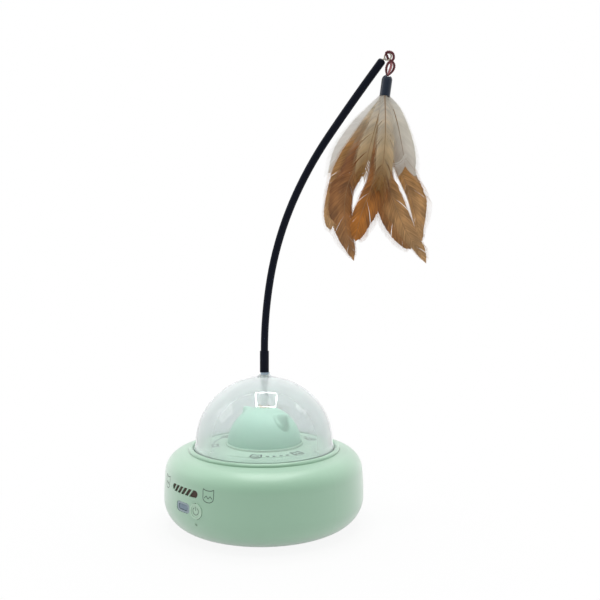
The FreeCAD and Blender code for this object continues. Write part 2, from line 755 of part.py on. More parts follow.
def cat_cover():
    """The inner dome with two ears, over the gears, and the ring that it stands in"""
    inside = "(cover_radius - cover_skin)"
    bore = "(upper_bush_radius + tight)"
    skin = turned("cover_skin_body", [
        ("cover_radius", "deck_high_z"), ("cover_radius", "cover_middle_z", "cover_radius", 1),
        (bore, f"cover_middle_z + sqrt(cover_radius^2 - {bore}^2)"), (bore, "cover_boss_z"),
        ("cover_boss", "cover_boss_z"),
        ("cover_boss", f"cover_middle_z + sqrt({inside}^2 - cover_boss^2)", inside, -1),
        (inside, "cover_middle_z"), (inside, "deck_high_z")])
    room = doc.addObject("Part::Sphere", "cover_room")
    bind(room, "Radius", inside)
    place(room, z="cover_middle_z")
    ears = cut("cover_ears", fuse("ear_pair", ear("left", -1), ear("right", 1)), room)
    keep(fuse("cat_cover", skin, ears))
    inner = "(cover_radius + ease)"
    half = "(plinth_wall / 2)"
    low = "deck_high_z + plinth_rise - plinth_wall / 2"
    keep(turned("cover_plinth", [
        (inner, "deck_high_z"), (f"{inner} + plinth_wall", "deck_high_z"),
        (f"{inner} + plinth_wall", low, f"{half} * rim_fullness", 1), (inner, low)]))


def port_parts():
    """The recessed charging port: bezel, metal shell and contact tongue"""
    front = "(base_radius - port_sunk)"
    bezel_back = "(board_front + plug_depth - port_sunk)"
    corners = rounded_corners("0", "panel_low_z", "port_width", "port_height", "port_corner")
    block = front_pad("bezel_block", corners, bezel_back, "base_radius")
    round_front = cylinder("bezel_front", front, "2 * port_height", z="panel_low_z - port_height")
    hole = stadium("bezel_hole", "plug_width + 2 * slip", "plug_height + 2 * slip", "board_front",
                   "base_radius + wall", "0", "panel_low_z")
    keep(cut("port_bezel", common("bezel_body", block, round_front), hole))
    reach = "board_front + plug_depth"
    outside = stadium("plug_outside", "plug_width", "plug_height", "board_front", reach, "0", "panel_low_z")
    inside = stadium("plug_inside", "plug_width - 2 * plug_wall", "plug_height - 2 * plug_wall",
                     "board_front", f"{reach} + wall", "0", "panel_low_z")
    keep(cut("usb_port", outside, inside))
    keep(centred_box("usb_tongue", "tongue_width / 2", "tongue_depth", "tongue_height",
                     y="-board_front - tongue_depth", z="panel_low_z - tongue_height / 2"))


def button_parts():
    """The power button with its flange and stem, and the switch that it presses"""
    plunger_end = "(board_front + switch_height + button_travel + plunger_play)"
    flange_back = "(board_front + button_flange_back)"
    at = ("button_side", "panel_low_z")
    cap = common("button_cap",
                 front_cylinder("button_rod", "button_radius", flange_back, "base_radius + wall", *at),
                 cylinder("button_front", "base_radius + button_proud", "4 * button_radius",
                          z="panel_low_z - 2 * button_radius"))
    flange = front_cylinder("button_flange_disc", "button_flange", flange_back,
                            f"{flange_back} + button_flange_wall", *at)
    stem = front_cylinder("button_stem_rod", "button_stem", plunger_end, flange_back, *at)
    dish_floor = cylinder("button_dish_floor", "base_radius + button_proud - button_dish_sunk",
                          "4 * button_radius", z="panel_low_z - 2 * button_radius")
    dish_rod = front_cylinder("button_dish_rod", "button_dish", "board_front", "base_radius + wall", *at)
    dish = cut("button_dish_room", dish_rod, dish_floor)
    keep(cut("power_button", fuse("button_body", cap, flange, stem), dish))
    keep(front_cylinder("switch_plunger", "button_stem", f"{plunger_end} - plunger_length", plunger_end, *at))
    block = box("switch_block", "switch_width", "switch_height", "switch_width",
                x="button_side - switch_width / 2", y="-board_front - switch_height",
                z="panel_low_z - switch_width / 2")
    top = "board_front + switch_height"
    well = front_cylinder("switch_well_room", "button_stem + slip", f"{top} - switch_well", top, *at)
    keep(cut("tact_switch", block, well))


def status_light():
    skin = "(base_radius - under_radius + sqrt(under_radius^2 - (side_z - light_z)^2))"
    keep(front_cylinder("led_pipe", "light_radius", "board_front + chip_height + ease",
                        f"sqrt({skin}^2 - button_side^2) - light_sunk", "button_side", "light_z"))
    keep(box("status_led", "chip_width", "chip_height", "chip_width", x="button_side - chip_width / 2",
             y="-board_front - chip_height", z="light_z - chip_width / 2"))


def sound_parts():
    """Dark mesh behind the slots, a foam gasket and a flat speaker"""
    rise = "(mesh_high_z - mesh_low_z)"

    def wedge_cone(name, inset):
        return sound_cone(name, f"slot_wall + slip + {inset}")

    slab = centred_box("mesh_slab", "mesh_half", "base_radius - board_front", rise,
                       y="-base_radius", z="mesh_low_z")
    keep(common("sound_mesh", cut("mesh_band", wedge_cone("mesh_outside", "0"),
                                  wedge_cone("mesh_inside", "mesh_wall")), slab))
    frame = centred_box("gasket_block", "speaker_half", "base_radius - speaker_front", rise,
                        y="-base_radius", z="mesh_low_z")
    window = centred_box("gasket_window", "speaker_half - speaker_rim", "base_radius",
                         f"{rise} - 2 * speaker_rim", y="-base_radius - speaker_rim",
                         z="mesh_low_z + speaker_rim")
    gasket = common("gasket_body", frame, wedge_cone("gasket_front", "mesh_wall + tight"))
    keep(cut("speaker_gasket", gasket, window))
    basket = centred_box("speaker_basket", "speaker_half", "speaker_frame", rise,
                         y="-speaker_front", z="mesh_low_z")
    magnet = centred_box("speaker_magnet", "magnet_half", "magnet_depth", f"{rise} - speaker_rim",
                         y="-speaker_front + speaker_frame", z="mesh_low_z + speaker_rim / 2")
    keep(fuse("speaker", basket, magnet))


def board_parts():
    board = centred_box("board_sheet", "board_half", "board_wall", "board_high_z - board_low_z",
                        y="-board_front", z="board_low_z")
    back = "board_front - board_wall"
    holes = []
    screws = []
    for number, (side, level) in enumerate(BOARD_SPOTS, start=1):
        holes.append(front_cylinder(f"board_way_{number}", "board_screw + slip", back, "board_front",
                                    side, level))
        head = front_cylinder(f"board_screw_head_{number}", "board_screw_head",
                              f"{back} - board_screw_head_rise", back, side, level)
        shank = front_cylinder(f"board_screw_shank_{number}", "board_screw", back,
                               f"{back} + board_screw_length", side, level)
        screws.append(fuse(f"board_screw_{number}", head, shank))
    keep(cut("main_board", board, *holes))
    keep(fuse("board_screws", *screws))


def battery_parts():
    """A flat cell in a tray at the back, and a steel ballast plate at the front"""
    floor = f"(cover_top + tray_floor)"
    edge = "(tray_wall + ease)"
    tray = centred_box("tray_block", f"cell_width / 2 + {edge}", f"cell_length + 2 * {edge}", "tray_rise",
                       y=f"cell_near - {edge}", z="cover_top")
    room = centred_box("tray_room", "cell_width / 2 + ease", "cell_length + 2 * ease", "tray_rise",
                       y="cell_near - ease", z=floor)
    keep(cut("battery_holder", tray, room))
    keep(centred_box("battery_cell", "cell_width / 2", "cell_length", "cell_height", y="cell_near", z=floor))
    disc = cylinder("ballast_disc", "ballast_radius", "ballast_wall", z="cover_top")
    rear = centred_box("ballast_rear", "2 * ballast_radius", "2 * ballast_radius", "2 * ballast_wall",
                       y=f"cell_near - {edge} - ballast_edge", z="0")
    keep(cut("ballast_plate", disc, rear))


def motor_parts():
    """The bracket under the deck, with the gear motor hung from it in front of the axis"""
    spot = {"x": "0", "y": f"-centre_distance"}
    top = "(bracket_z + bracket_wall)"
    plate = cylinder("bracket_disc", "bracket_radius", "bracket_wall", z="bracket_z")
    holes = [cylinder("bracket_bush_hole", "bush_radius + tight", "bracket_wall", z="bracket_z"),
             cylinder("bracket_shaft_hole", "shaft_window", "bracket_wall", z="bracket_z", **spot)]
    screws = []
    for degrees in POST_ANGLES:
        place_on = around("post_circle", degrees)
        holes.append(cylinder(f"bracket_hole_{degrees}", "bracket_screw + slip", "bracket_wall",
                              z="bracket_z", **place_on))
        head = cylinder(f"bracket_screw_head_{degrees}", "bracket_screw_head", "bracket_screw_head_rise",
                        z="bracket_z - bracket_screw_head_rise", **place_on)
        shank = cylinder(f"bracket_screw_shank_{degrees}", "bracket_screw", "bracket_screw_length",
                         z="bracket_z", **place_on)
        screws.append(fuse(f"bracket_screw_{degrees}", head, shank))
    keep(cut("motor_bracket", plate, *holes))
    keep(fuse("bracket_screws", *screws))
    gearbox_z = "(bracket_z - gearbox_height)"
    y = f"-centre_distance - motor_depth / 2"
    gearbox = centred_box("gearbox_block", "motor_width / 2", "motor_depth", "gearbox_height",
                          y=y, z=gearbox_z)
    bearing = cylinder("gearbox_bearing", "shaft_radius + running", "shaft_bearing",
                       z="bracket_z - shaft_bearing", **spot)
    keep(cut("gear_motor_gearbox", gearbox, bearing))
    can_z = f"{gearbox_z} - can_height"
    keep(common("gear_motor_can", cylinder("can_round", "motor_width / 2", "can_height", z=can_z, **spot),
                centred_box("can_flats", "motor_width / 2", "motor_depth", "can_height", y=y, z=can_z)))
    shaft_foot = "(bracket_z - shaft_bearing + ease)"
    keep(cylinder("motor_shaft", "shaft_radius", f"gear_z + gear_wall + pinion_extra - {shaft_foot}",
                  z=shaft_foot, **spot))
    bush = fuse("lower_bush_body",
                cylinder("lower_bush_barrel", "bush_radius", f"{top} - bush_foot_z", z="bush_foot_z"),
                cylinder("lower_bush_flange", "bush_flange", "bush_flange_wall", z=top))
    keep(cut("lower_bush", bush, cylinder("lower_bush_bore", "spindle_radius + running",
                                          f"{top} + bush_flange_wall - bush_foot_z", z="bush_foot_z")))


def tooth_ring(teeth, bore, low_z, height, x, y, first_tooth):
    """A spur gear with straight-sided teeth, and a tooth at the angle first_tooth"""
    module = value("tooth_module")
    tip = module * (teeth / 2 + 1)
    root = module * (teeth / 2 - value("tooth_depth"))
    half = math.pi / (2 * teeth) * value("tooth_play")
    foot_half = half * value("tooth_foot")
    tip_half = half * value("tooth_tip")
    corners = []
    for index in range(teeth):
        middle = math.radians(first_tooth) + 2 * math.pi * index / teeth
        for radius, side in ((root, -foot_half), (tip, -tip_half), (tip, tip_half), (root, foot_half)):
            corners.append(V(radius * math.cos(middle + side), radius * math.sin(middle + side), 0))
    rim = Part.Face(Part.makePolygon(corners + corners[:1]))
    solid = rim.extrude(V(0, 0, height)).cut(Part.makeCylinder(bore, height))
    return solid.translated(V(x, y, low_z))


def gears():
    bore = value("spindle_radius")
    wheel = tooth_ring(int(value("gear_teeth")), bore, value("gear_z"), value("gear_wall"), 0, 0,
                       270 + 180 / value("gear_teeth"))
    hub_rise = value("gear_z - hub_z")
    hub = Part.makeCylinder(value("hub_radius"), hub_rise, V(0, 0, value("hub_z")))
    hub = hub.cut(Part.makeCylinder(bore, hub_rise, V(0, 0, value("hub_z"))))
    keep_shape("drive_gear", wheel.fuse(hub))
    keep_shape("pinion", tooth_ring(int(value("pinion_teeth")), value("shaft_radius"),
                                    value("gear_z - pinion_extra"), value("gear_wall + 2 * pinion_extra"),
                                    0, -value("centre_distance"), 90))


def d_section(name, radius, flat, height, z):
    """A round bar with one flat, which keeps the wand from turning in its socket"""
    return common(name, cylinder(name + "_round", radius, height, z=z),
                  box(name + "_flat", f"({flat}) + ({radius})", f"2 * ({radius})", height,
                      x=f"-({radius})", y=f"-({radius})", z=z))


def spindle_parts():
    keep(cylinder("spindle", "spindle_radius", "spindle_top_z - spindle_foot_z", z="spindle_foot_z"))
    keep(tube("retaining_clip", "clip_radius", "spindle_radius", "clip_wall", z="clip_z"))
    keep(tube("upper_bush", "upper_bush_radius", "spindle_radius + running", "upper_bush_rise",
              z="cover_boss_z"))
    pin_foot = "(socket_top_z - pin_length)"
    barrel = cylinder("socket_barrel", "socket_radius", "socket_top_z - spindle_top_z", z="spindle_top_z")
    hole = d_section("socket_hole", "pin_radius + running", "pin_flat + running", "pin_length + pin_end_room",
                     f"{pin_foot} - pin_end_room")
    keep(cut("wand_socket", barrel, hole))
    keep(d_section("wand_pin", "pin_radius", "pin_flat", "pin_length", pin_foot))


class Bend:
    """One run of the wand's line: a start point, a lean from upright, a bend radius and a turn"""
    def __init__(self, start, lean, radius, turn, length):
        self.start, self.lean, self.radius, self.turn, self.length = start, lean, radius, turn, length


def heading(degrees):
    return V(math.cos(math.radians(degrees)), math.sin(math.radians(degrees)), 0)


def along(lean):
    """Direction in the wand's plane that leans from upright towards its heading"""
    return heading(value("wand_heading")) * math.sin(lean) + V(0, 0, math.cos(lean))


def across(lean):
    return heading(value("wand_heading")) * math.cos(lean) - V(0, 0, math.sin(lean))


def wand_line():
    """The wand's runs, and its end point and end direction"""
    point = V(0, 0, value("socket_top_z + ferrule_rise"))
    lean = 0.0
    runs = [Bend(point, lean, None, None, value("straight_length"))]
    point = point + along(lean) * runs[0].length
    for number in ("one", "two", "three", "four"):
        radius = value(f"bend_{number}")
        turn = math.radians(value(f"turn_{number}"))
        runs.append(Bend(point, lean, radius, turn, radius * turn))
        point = point + across(lean) * radius - across(lean + turn) * radius
        lean += turn
    return runs, point, lean


def along_wand(radius, bore=0.0):
    """A round bar or tube that follows the wand's line"""
    bend_axis = V(0, 0, 1).cross(heading(value("wand_heading")))
    pieces = []
    for run in wand_line()[0]:
        face = Part.Face(Part.Wire(Part.Circle(run.start, along(run.lean), radius).toShape()))
        if bore:
            hole = Part.Face(Part.Wire(Part.Circle(run.start, along(run.lean), bore).toShape()))
            face = face.cut(hole)
        if run.radius is None:
            pieces.append(face.extrude(along(run.lean) * run.length))
        else:
            middle = run.start + across(run.lean) * run.radius
            pieces.append(face.revolve(middle, bend_axis, math.degrees(run.turn)))
    return pieces[0].multiFuse(pieces[1:]).removeSplitter()


def eye_middle():
    """Middle of the metal eye, just past the wand's end"""
    end = wand_line()[1] + along(wand_line()[2]) * value("end_cap_length")
    lift = math.radians(90 - value("eye_lift"))
    return end + along(lift) * value("eye_reach"), end, along(lift)


def wand_parts():
    ferrule_z = "socket_top_z"
    lug_side = value("wand_heading")
    ring = cylinder("ferrule_ring", "ferrule_radius", "ferrule_rise", z=ferrule_z)
    lug = box("ferrule_lug", "ferrule_radius + lug_reach", "lug_width", "lug_rise",
              x=f"lug_width / 2 * sin({lug_side})", y=f"-lug_width / 2 * cos({lug_side})",
              z=f"{ferrule_z} + ferrule_rise - lug_rise", turn=about(V(0, 0, 1), lug_side))
    keep(fuse("wand_ferrule", ring, lug))
    keep(tube("wand_sleeve", "sleeve_radius", "wand_radius + tight", "sleeve_length",
              z=f"{ferrule_z} + ferrule_rise"))
    keep_shape("wand_tube", along_wand(value("wand_radius"), value("wire_radius + tight")))
    keep_shape("wand_core", along_wand(value("wire_radius")))
    runs, end, lean = wand_line()
    length = value("end_cap_length")
    cap = Part.makeCylinder(value("wand_radius"), length, end, along(lean))
    crown = end + along(lean) * length
    top = [edge for edge in cap.Edges if (edge.CenterOfMass - crown).Length < length / 10]
    cap = cap.makeFillet(value("end_cap_round"), top)
    middle, tip, reach = eye_middle()
    sunk = value("shank_sunk")
    shank_length = sunk + value("eye_reach - eye_radius")
    shank_start = tip - reach * sunk
    cap = cap.cut(Part.makeCylinder(value("shank_radius + tight"), shank_length, shank_start, reach))
    keep_shape("wand_end_cap", cap)
    shank = Part.makeCylinder(value("shank_radius"), shank_length, shank_start, reach)
    ring = Part.makeTorus(value("eye_radius"), value("eye_wire"), middle, V(0, 0, 1).cross(heading(lug_side)))
    keep_shape("tip_eye", ring.fuse(shank))


def loop_arcs():
    """Four arcs of the cord loop in its own plane: middle, radius, start angle and sweep"""
    top = value("loop_top_radius")
    foot = value("loop_foot_radius")
    side = value("loop_side_radius")
    top_z = value("-eye_radius + eye_wire + cord_radius + loop_play") - top
    foot_z = -value("teaser_drop")
    span = top_z - foot_z
    difference = (top - foot) * (2 * side - top - foot) / span
    below = (span + difference) / 2
    reach = math.sqrt((side - foot) ** 2 - below ** 2)
    middle_z = foot_z + below
    high = math.atan2(top_z - middle_z, reach)
    low = math.atan2(middle_z - foot_z, reach)
    return [((0, top_z), top, high, math.pi - 2 * high),
            ((reach, middle_z), side, math.pi - high, high + low),
            ((0, foot_z), foot, math.pi + low, math.pi - 2 * low),
            ((-reach, middle_z), side, -low, high + low)]


def hang_loop():
    """A closed loop of cord through the metal eye, in one upright plane"""
    middle = eye_middle()[0]
    wide = heading(value("loop_heading"))
    normal = wide.cross(V(0, 0, 1))
    pieces = []
    for (x, z), radius, start, sweep in loop_arcs():
        centre = middle + wide * x + V(0, 0, z)
        out = wide * math.cos(start) + V(0, 0, math.sin(start))
        go = -wide * math.sin(start) + V(0, 0, math.cos(start))
        face = Part.Face(Part.Wire(Part.Circle(centre + out * radius, go, value("cord_radius")).toShape()))
        pieces.append(face.revolve(centre, normal, math.degrees(sweep)))
    keep_shape("hang_loop", pieces[0].multiFuse(pieces[1:]).removeSplitter())


def teaser_frame():
    """The cap's top, the middle of its mouth, and the side and front directions of the fan"""
    side = heading(value("fan_heading"))
    top = eye_middle()[0] - V(0, 0, value("teaser_drop"))
    lean = math.radians(value("teaser_cap_lean"))
    down = -side * math.sin(lean) - V(0, 0, math.cos(lean))
    return top, down, top + down * value("teaser_cap_length"), side, side.cross(V(0, 0, 1))


def teaser_cap():
    """The domed cap, notched at its top for the loop, and the plug that holds the quills"""
    top, down, mouth, side, front = teaser_frame()
    radius = value("teaser_cap_radius")
    length = value("teaser_cap_length")
    plug = value("plug_length")
    inner = radius - value("teaser_cap_wall")
    barrel = Part.makeCylinder(radius, length - radius, mouth, -down)
    dome = Part.makeSphere(radius, mouth - down * (length - radius))
    body = barrel.fuse(dome)
    body = body.cut(Part.makeCylinder(inner, plug, mouth, -down))
    notch = value("loop_foot_radius + cord_radius + notch_room")
    axis = heading(value("loop_heading")).cross(V(0, 0, 1))
    keep_shape("teaser_cap", body.cut(Part.makeCylinder(notch, 4 * radius, top - axis * (2 * radius), axis)))
    keep_shape("quill_plug", Part.makeCylinder(inner - value("tight"), plug - value("tight"), mouth, -down))


def feather(name, layer):
    """A thin leaf-shaped blade in a plane of its own, so that no two feathers cross"""
    top, down, mouth, side, front = teaser_frame()
    sizes = {size: value(f"{name}_{size}") for size in FEATHERS[name]}
    middle = V(sizes["middle_side"], -sizes["middle_drop"], 0)
    tip = V(sizes["tip_side"], -sizes["tip_drop"], 0)
    half = sizes["half"]
    quill = value("quill_half")
    start = V(0, -value("quill_gap"), 0)
    across_blade = (tip - start).cross(V(0, 0, 1)).normalize()
    left = Part.Arc(start - V(quill, 0, 0), middle + across_blade * half, tip).toShape()
    right = Part.Arc(tip, middle - across_blade * half, start + V(quill, 0, 0)).toShape()
    root = Part.LineSegment(start + V(quill, 0, 0), start - V(quill, 0, 0)).toShape()
    wall = value("feather_wall")
    blade = Part.Face(Part.Wire([left, right, root])).extrude(V(0, 0, wall)).translated(V(0, 0, -wall / 2))
    step = layer - (len(FEATHERS) - 1) / 2
    blade.rotate(V(), V(1, 0, 0), -step * value("feather_fan"))
    blade.translate(V(0, 0, step * value("feather_pitch")))
    frame = FreeCAD.Matrix(side.x, 0, front.x, mouth.x, side.y, 0, front.y, mouth.y,
                           0, 1, 0, mouth.z, 0, 0, 0, 1)
    keep_shape(name, blade.transformed(frame))


def check_and_write():
    """Stop on any failed object, then write each node's solids to its own file"""
    doc.recompute()
    failed = [made.Name for made in doc.Objects if {"Invalid", "Error"} & set(made.State)]
    if failed:
        raise RuntimeError("failed: " + ", ".join(failed))
    os.makedirs("parts", exist_ok=True)
    for made in nodes:
        if made.Shape.isNull() or not made.Shape.isValid() or not made.Shape.Solids:
            raise RuntimeError("bad shape: " + made.Label)
        made.Shape.exportStep(f"parts/{made.Label}.step")
        print(f"{made.Label}: {len(made.Shape.Solids)} solids, {made.Shape.Volume:.1f} mm3")
    print(len(nodes), "nodes")


fill_sheet()
base_shell()
bottom_cover()
cover_screws()
collar_ring()
deck()
cat_cover()
clear_dome()
port_parts()
button_parts()
status_light()
sound_parts()
board_parts()
battery_parts()
motor_parts()
gears()
spindle_parts()
wand_parts()
hang_loop()
teaser_cap()
for layer, name in enumerate(FEATHERS):
    feather(name, layer)
check_and_write()
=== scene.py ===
# %% [markdown]
# A motorised feather wand for a cat. A mint green plastic base stands on the floor, with a clear dome
# over a cat-eared cover. A curved black rod turns on a spindle in the middle, and dangles a bunch of
# feathers from a loop of cord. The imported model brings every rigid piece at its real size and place.
# This script gives each piece its finish, and makes what is soft, printed or finely shaped: the feathers,
# the cord, the prints, the cover's ears and the port's plug.

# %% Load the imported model
import math
import random

import bmesh
import bpy
import numpy as np
from mathutils import Matrix, Vector
from mathutils.bvhtree import BVHTree


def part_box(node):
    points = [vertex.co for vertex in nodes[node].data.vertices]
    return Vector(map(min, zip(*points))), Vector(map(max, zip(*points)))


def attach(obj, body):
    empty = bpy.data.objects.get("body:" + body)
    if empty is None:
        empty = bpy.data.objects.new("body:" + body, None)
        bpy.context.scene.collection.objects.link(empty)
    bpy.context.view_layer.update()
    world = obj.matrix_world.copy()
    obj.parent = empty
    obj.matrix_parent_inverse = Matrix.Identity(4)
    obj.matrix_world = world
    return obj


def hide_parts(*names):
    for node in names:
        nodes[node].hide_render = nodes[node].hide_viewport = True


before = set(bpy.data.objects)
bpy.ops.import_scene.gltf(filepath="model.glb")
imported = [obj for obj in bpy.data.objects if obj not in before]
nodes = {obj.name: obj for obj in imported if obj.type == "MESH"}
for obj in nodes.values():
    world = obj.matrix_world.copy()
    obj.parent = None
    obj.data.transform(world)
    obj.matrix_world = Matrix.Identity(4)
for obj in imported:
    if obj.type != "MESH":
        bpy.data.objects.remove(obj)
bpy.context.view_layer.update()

# %% [markdown]
# Everything in the scene is in metres. Real sizes are easier to read in millimetres, so one constant
# turns them over. Directions round the toy are given as azimuths from +X.

# %% Units and directions
MM = 0.001
UP = Vector((0, 0, 1))


def round_axis(turn, away=1, high=0):
    """A place by its turn round the spindle, in radians, its distance from the spindle and its height"""
    return Vector((away * math.cos(turn), away * math.sin(turn), high))


def azimuth(degrees):
    """A level direction, in degrees from +X towards +Y"""
    return round_axis(math.radians(degrees))


print("the control panel faces", [round(x) for x in azimuth(270)])

# %% [markdown]
# The camera was found from the base's round outline and the wand's foot in the photograph: it stands
# half a metre away, a little higher than the dome, and looks slightly down. A lens shift would frame the
# toy as well, but turning the camera keeps every other view simple.

# %% Camera
PHOTO_WIDTH = 600
FOCAL_PIXELS = 769.6
AXIS_COLUMN = 264.4
CAMERA_FROM = 49
CAMERA_AWAY = 500 * MM
CAMERA_HIGH = 172.1 * MM
CAMERA_DIP = math.radians(3.07)

level_right = azimuth(CAMERA_FROM)
level_ahead = azimuth(CAMERA_FROM + 90)
ahead = level_ahead * math.cos(CAMERA_DIP) - UP * math.sin(CAMERA_DIP)
camera_up = level_ahead * math.sin(CAMERA_DIP) + UP * math.cos(CAMERA_DIP)
turn = math.atan((AXIS_COLUMN - PHOTO_WIDTH / 2) / FOCAL_PIXELS)
camera_right = level_right * math.cos(turn) + ahead * math.sin(turn)
view_axis = ahead * math.cos(turn) - level_right * math.sin(turn)

lens = bpy.data.cameras.new("photo_camera")
lens.sensor_width = 36
lens.lens = lens.sensor_width * FOCAL_PIXELS / PHOTO_WIDTH
camera = bpy.data.objects.new("photo_camera", lens)
bpy.context.scene.collection.objects.link(camera)
camera.matrix_world = Matrix((
    (camera_right.x, camera_up.x, -view_axis.x, -level_ahead.x * CAMERA_AWAY),
    (camera_right.y, camera_up.y, -view_axis.y, -level_ahead.y * CAMERA_AWAY),
    (camera_right.z, camera_up.z, -view_axis.z, CAMERA_HIGH),
    (0, 0, 0, 1)))
bpy.context.scene.camera = camera
print("camera at", [round(x, 4) for x in camera.matrix_world.translation], "lens", round(lens.lens, 1))

# %% [markdown]
# A material is a small graph of nodes. One helper adds a node, sets its properties and fills its inputs
# with numbers or with links. Colours are written as they look on a screen, in sRGB hex, and a second
# helper turns them into the linear numbers that Blender mixes.

# %% Node and colour helpers


def linear(hex_colour):
    """Linear red, green, blue and alpha of an sRGB colour such as 'a3c5ab'"""
    channels = [int(hex_colour[i:i + 2], 16) / 255 for i in (0, 2, 4)]
    return (*[c / 12.92 if c <= 0.04045 else ((c + 0.055) / 1.055) ** 2.4 for c in channels], 1)


def fill(tree, node, inputs):
    """Give inputs, by name or number, a value or a link from another node's output"""
    for key, given in inputs.items():
        if isinstance(given, bpy.types.NodeSocket):
            tree.links.new(given, node.inputs[key])
        else:
            node.inputs[key].default_value = given


def add(tree, kind, inputs=None, **settings):
    """Add one node with its settings and inputs"""
    made = tree.nodes.new("ShaderNode" + kind)
    for name, setting in settings.items():
        setattr(made, name, setting)
    fill(tree, made, inputs or {})
    return made


def new_material(name):
    """A new material, its tree and its surface shader"""
    made = bpy.data.materials.new(name)
    made.use_nodes = True
    return made, made.node_tree, made.node_tree.nodes["Principled BSDF"]


def coat(material, *names):
    """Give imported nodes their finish"""
    for name in names:
        nodes[name].data.materials.clear()
        nodes[name].data.materials.append(material)
    print(material.name, "on", ", ".join(names))


print("mid grey on a screen is", round(linear("808080")[0], 3), "in linear light")

# %% [markdown]
# The housing is injection-moulded ABS in pastel green. The mould was etched, so the skin is satin: a wide
# soft highlight, no mirror image. The etching is about 0.1 mm across, too fine to see from half a metre,
# so it is drawn three times as coarse. A slow drift in the colour stands for the uneven pigment that pale
# plastics always show. The outside is brighter where light grazes it, which Sheen gives, and has a blurred
# gloss over the etching, which is what Coat is for. The pieces under the dome have neither.

# %% Satin ABS
ABS_IOR = 1.54
ETCH_SIZE = 0.3 * MM
ETCH_DEPTH = 0.02 * MM
PIGMENT_DRIFT = 45 * MM
GLOSS_DRIFT = 0.05
OUTSIDE_SHEEN = 0.6
SHEEN_ROUGHNESS, COAT_ROUGHNESS = 0.5, 0.36


def satin_abs(name, colour, paler, roughness, sheen=0.0):
    made, tree, shader = new_material(name)
    place = add(tree, "TexCoord").outputs["Object"]
    drift = add(tree, "TexNoise", {"Vector": place, "Scale": 1 / PIGMENT_DRIFT, "Detail": 2})
    etch = add(tree, "TexNoise", {"Vector": place, "Scale": 1 / ETCH_SIZE, "Detail": 1})
    shade = add(tree, "Mix", {"Factor": drift.outputs["Fac"], 6: linear(colour), 7: linear(paler)},
                data_type="RGBA")
    gloss = add(tree, "MapRange", {"Value": etch.outputs["Fac"], "To Min": roughness - GLOSS_DRIFT,
                                   "To Max": roughness + GLOSS_DRIFT})
    relief = add(tree, "Bump", {"Height": etch.outputs["Fac"], "Strength": 0.12, "Distance": ETCH_DEPTH})
    fill(tree, shader, {"Base Color": shade.outputs[2], "Roughness": gloss.outputs["Result"],
                        "Normal": relief.outputs["Normal"], "IOR": ABS_IOR, "Sheen Weight": sheen,
                        "Sheen Roughness": SHEEN_ROUGHNESS, "Coat Weight": 1.0 if sheen else 0.0,
                        "Coat Roughness": COAT_ROUGHNESS})
    return made


cover_abs = satin_abs("cover_abs", "b2dec6", "bfe8d0", 0.45)
coat(satin_abs("mint_abs", "93bea1", "9ac4a7", 0.5, OUTSIDE_SHEEN),
     "base_shell", "bottom_cover", "collar_ring")
# The button is the same green plastic, drawn paler than the housing: a painted highlight for the light that
# its raised rim catches.
coat(satin_abs("button_abs", "a8ccb1", "aed1b7", 0.46, OUTSIDE_SHEEN), "power_button")
coat(satin_abs("deck_abs", "bbd6bf", "c2dbc6", 0.5), "deck", "cover_plinth")
coat(cover_abs, "cat_cover")

# %% [markdown]
# The dome is clear polystyrene, 1.2 mm thick, straight from the mould and not polished. Clear plastic of
# this kind has a slight haze, which scatters some of the light. A ray that meets the wall at a slant goes
# through more of it, so the haze thickens towards the dome's outline, and Layer Weight gives just that.
# Real light passes it and still reaches the deck, so rays that ask for shadow go straight through.

# %% Clear polystyrene
CLEAR_IOR = 1.59
CLEAR_FACE, CLEAR_SLANT = 0.9, 0.5
SLANT_FROM, SLANT_FULL = 0.05, 0.7


def clear_polystyrene():
    made, tree, shader = new_material("clear_polystyrene")
    slant = add(tree, "LayerWeight", {"Blend": 0.5}).outputs["Facing"]
    clear = add(tree, "MapRange", {"Value": slant, "From Min": SLANT_FROM, "From Max": SLANT_FULL,
                                   "To Min": CLEAR_FACE, "To Max": CLEAR_SLANT})
    fill(tree, shader, {"Base Color": linear("e6eaeb"), "Roughness": 0.02, "IOR": CLEAR_IOR,
                        "Transmission Weight": clear.outputs["Result"]})
    passing = add(tree, "BsdfTransparent", {"Color": linear("f0f4f4")})
    ray = add(tree, "LightPath")
    both = add(tree, "MixShader", {0: ray.outputs["Is Shadow Ray"], 1: shader.outputs[0],
                                   2: passing.outputs[0]})
    fill(tree, tree.nodes["Material Output"], {"Surface": both.outputs[0]})
    return made


coat(clear_polystyrene(), "clear_dome")

# %% [markdown]
# The rest of the plastics are plain pieces: the grey-blue port frame, the silicone ring underneath, the
# rod's black sleeve, whose dull face mirrors hardly anything, and the glossy cap over the quills. One
# function serves them all, with the grain of each written as a real size.

# %% Small plastics
GRAIN_DEPTH = 0.02 * MM
GRAIN_SHADE = 0.85


def small_plastic(name, colour, roughness, grain=0.4 * MM, ior=1.5, specular=0.5):
    made, tree, shader = new_material(name)
    place = add(tree, "TexCoord").outputs["Object"]
    mottle = add(tree, "TexNoise", {"Vector": place, "Scale": 1 / grain, "Detail": 3})
    dark = [c * GRAIN_SHADE for c in linear(colour)[:3]] + [1]
    shade = add(tree, "Mix", {"Factor": mottle.outputs["Fac"], 6: dark, 7: linear(colour)},
                data_type="RGBA")
    relief = add(tree, "Bump", {"Height": mottle.outputs["Fac"], "Strength": 0.1, "Distance": GRAIN_DEPTH})
    fill(tree, shader, {"Base Color": shade.outputs[2], "Roughness": roughness, "IOR": ior,
                        "Normal": relief.outputs["Normal"], "Specular IOR Level": specular})
    return made


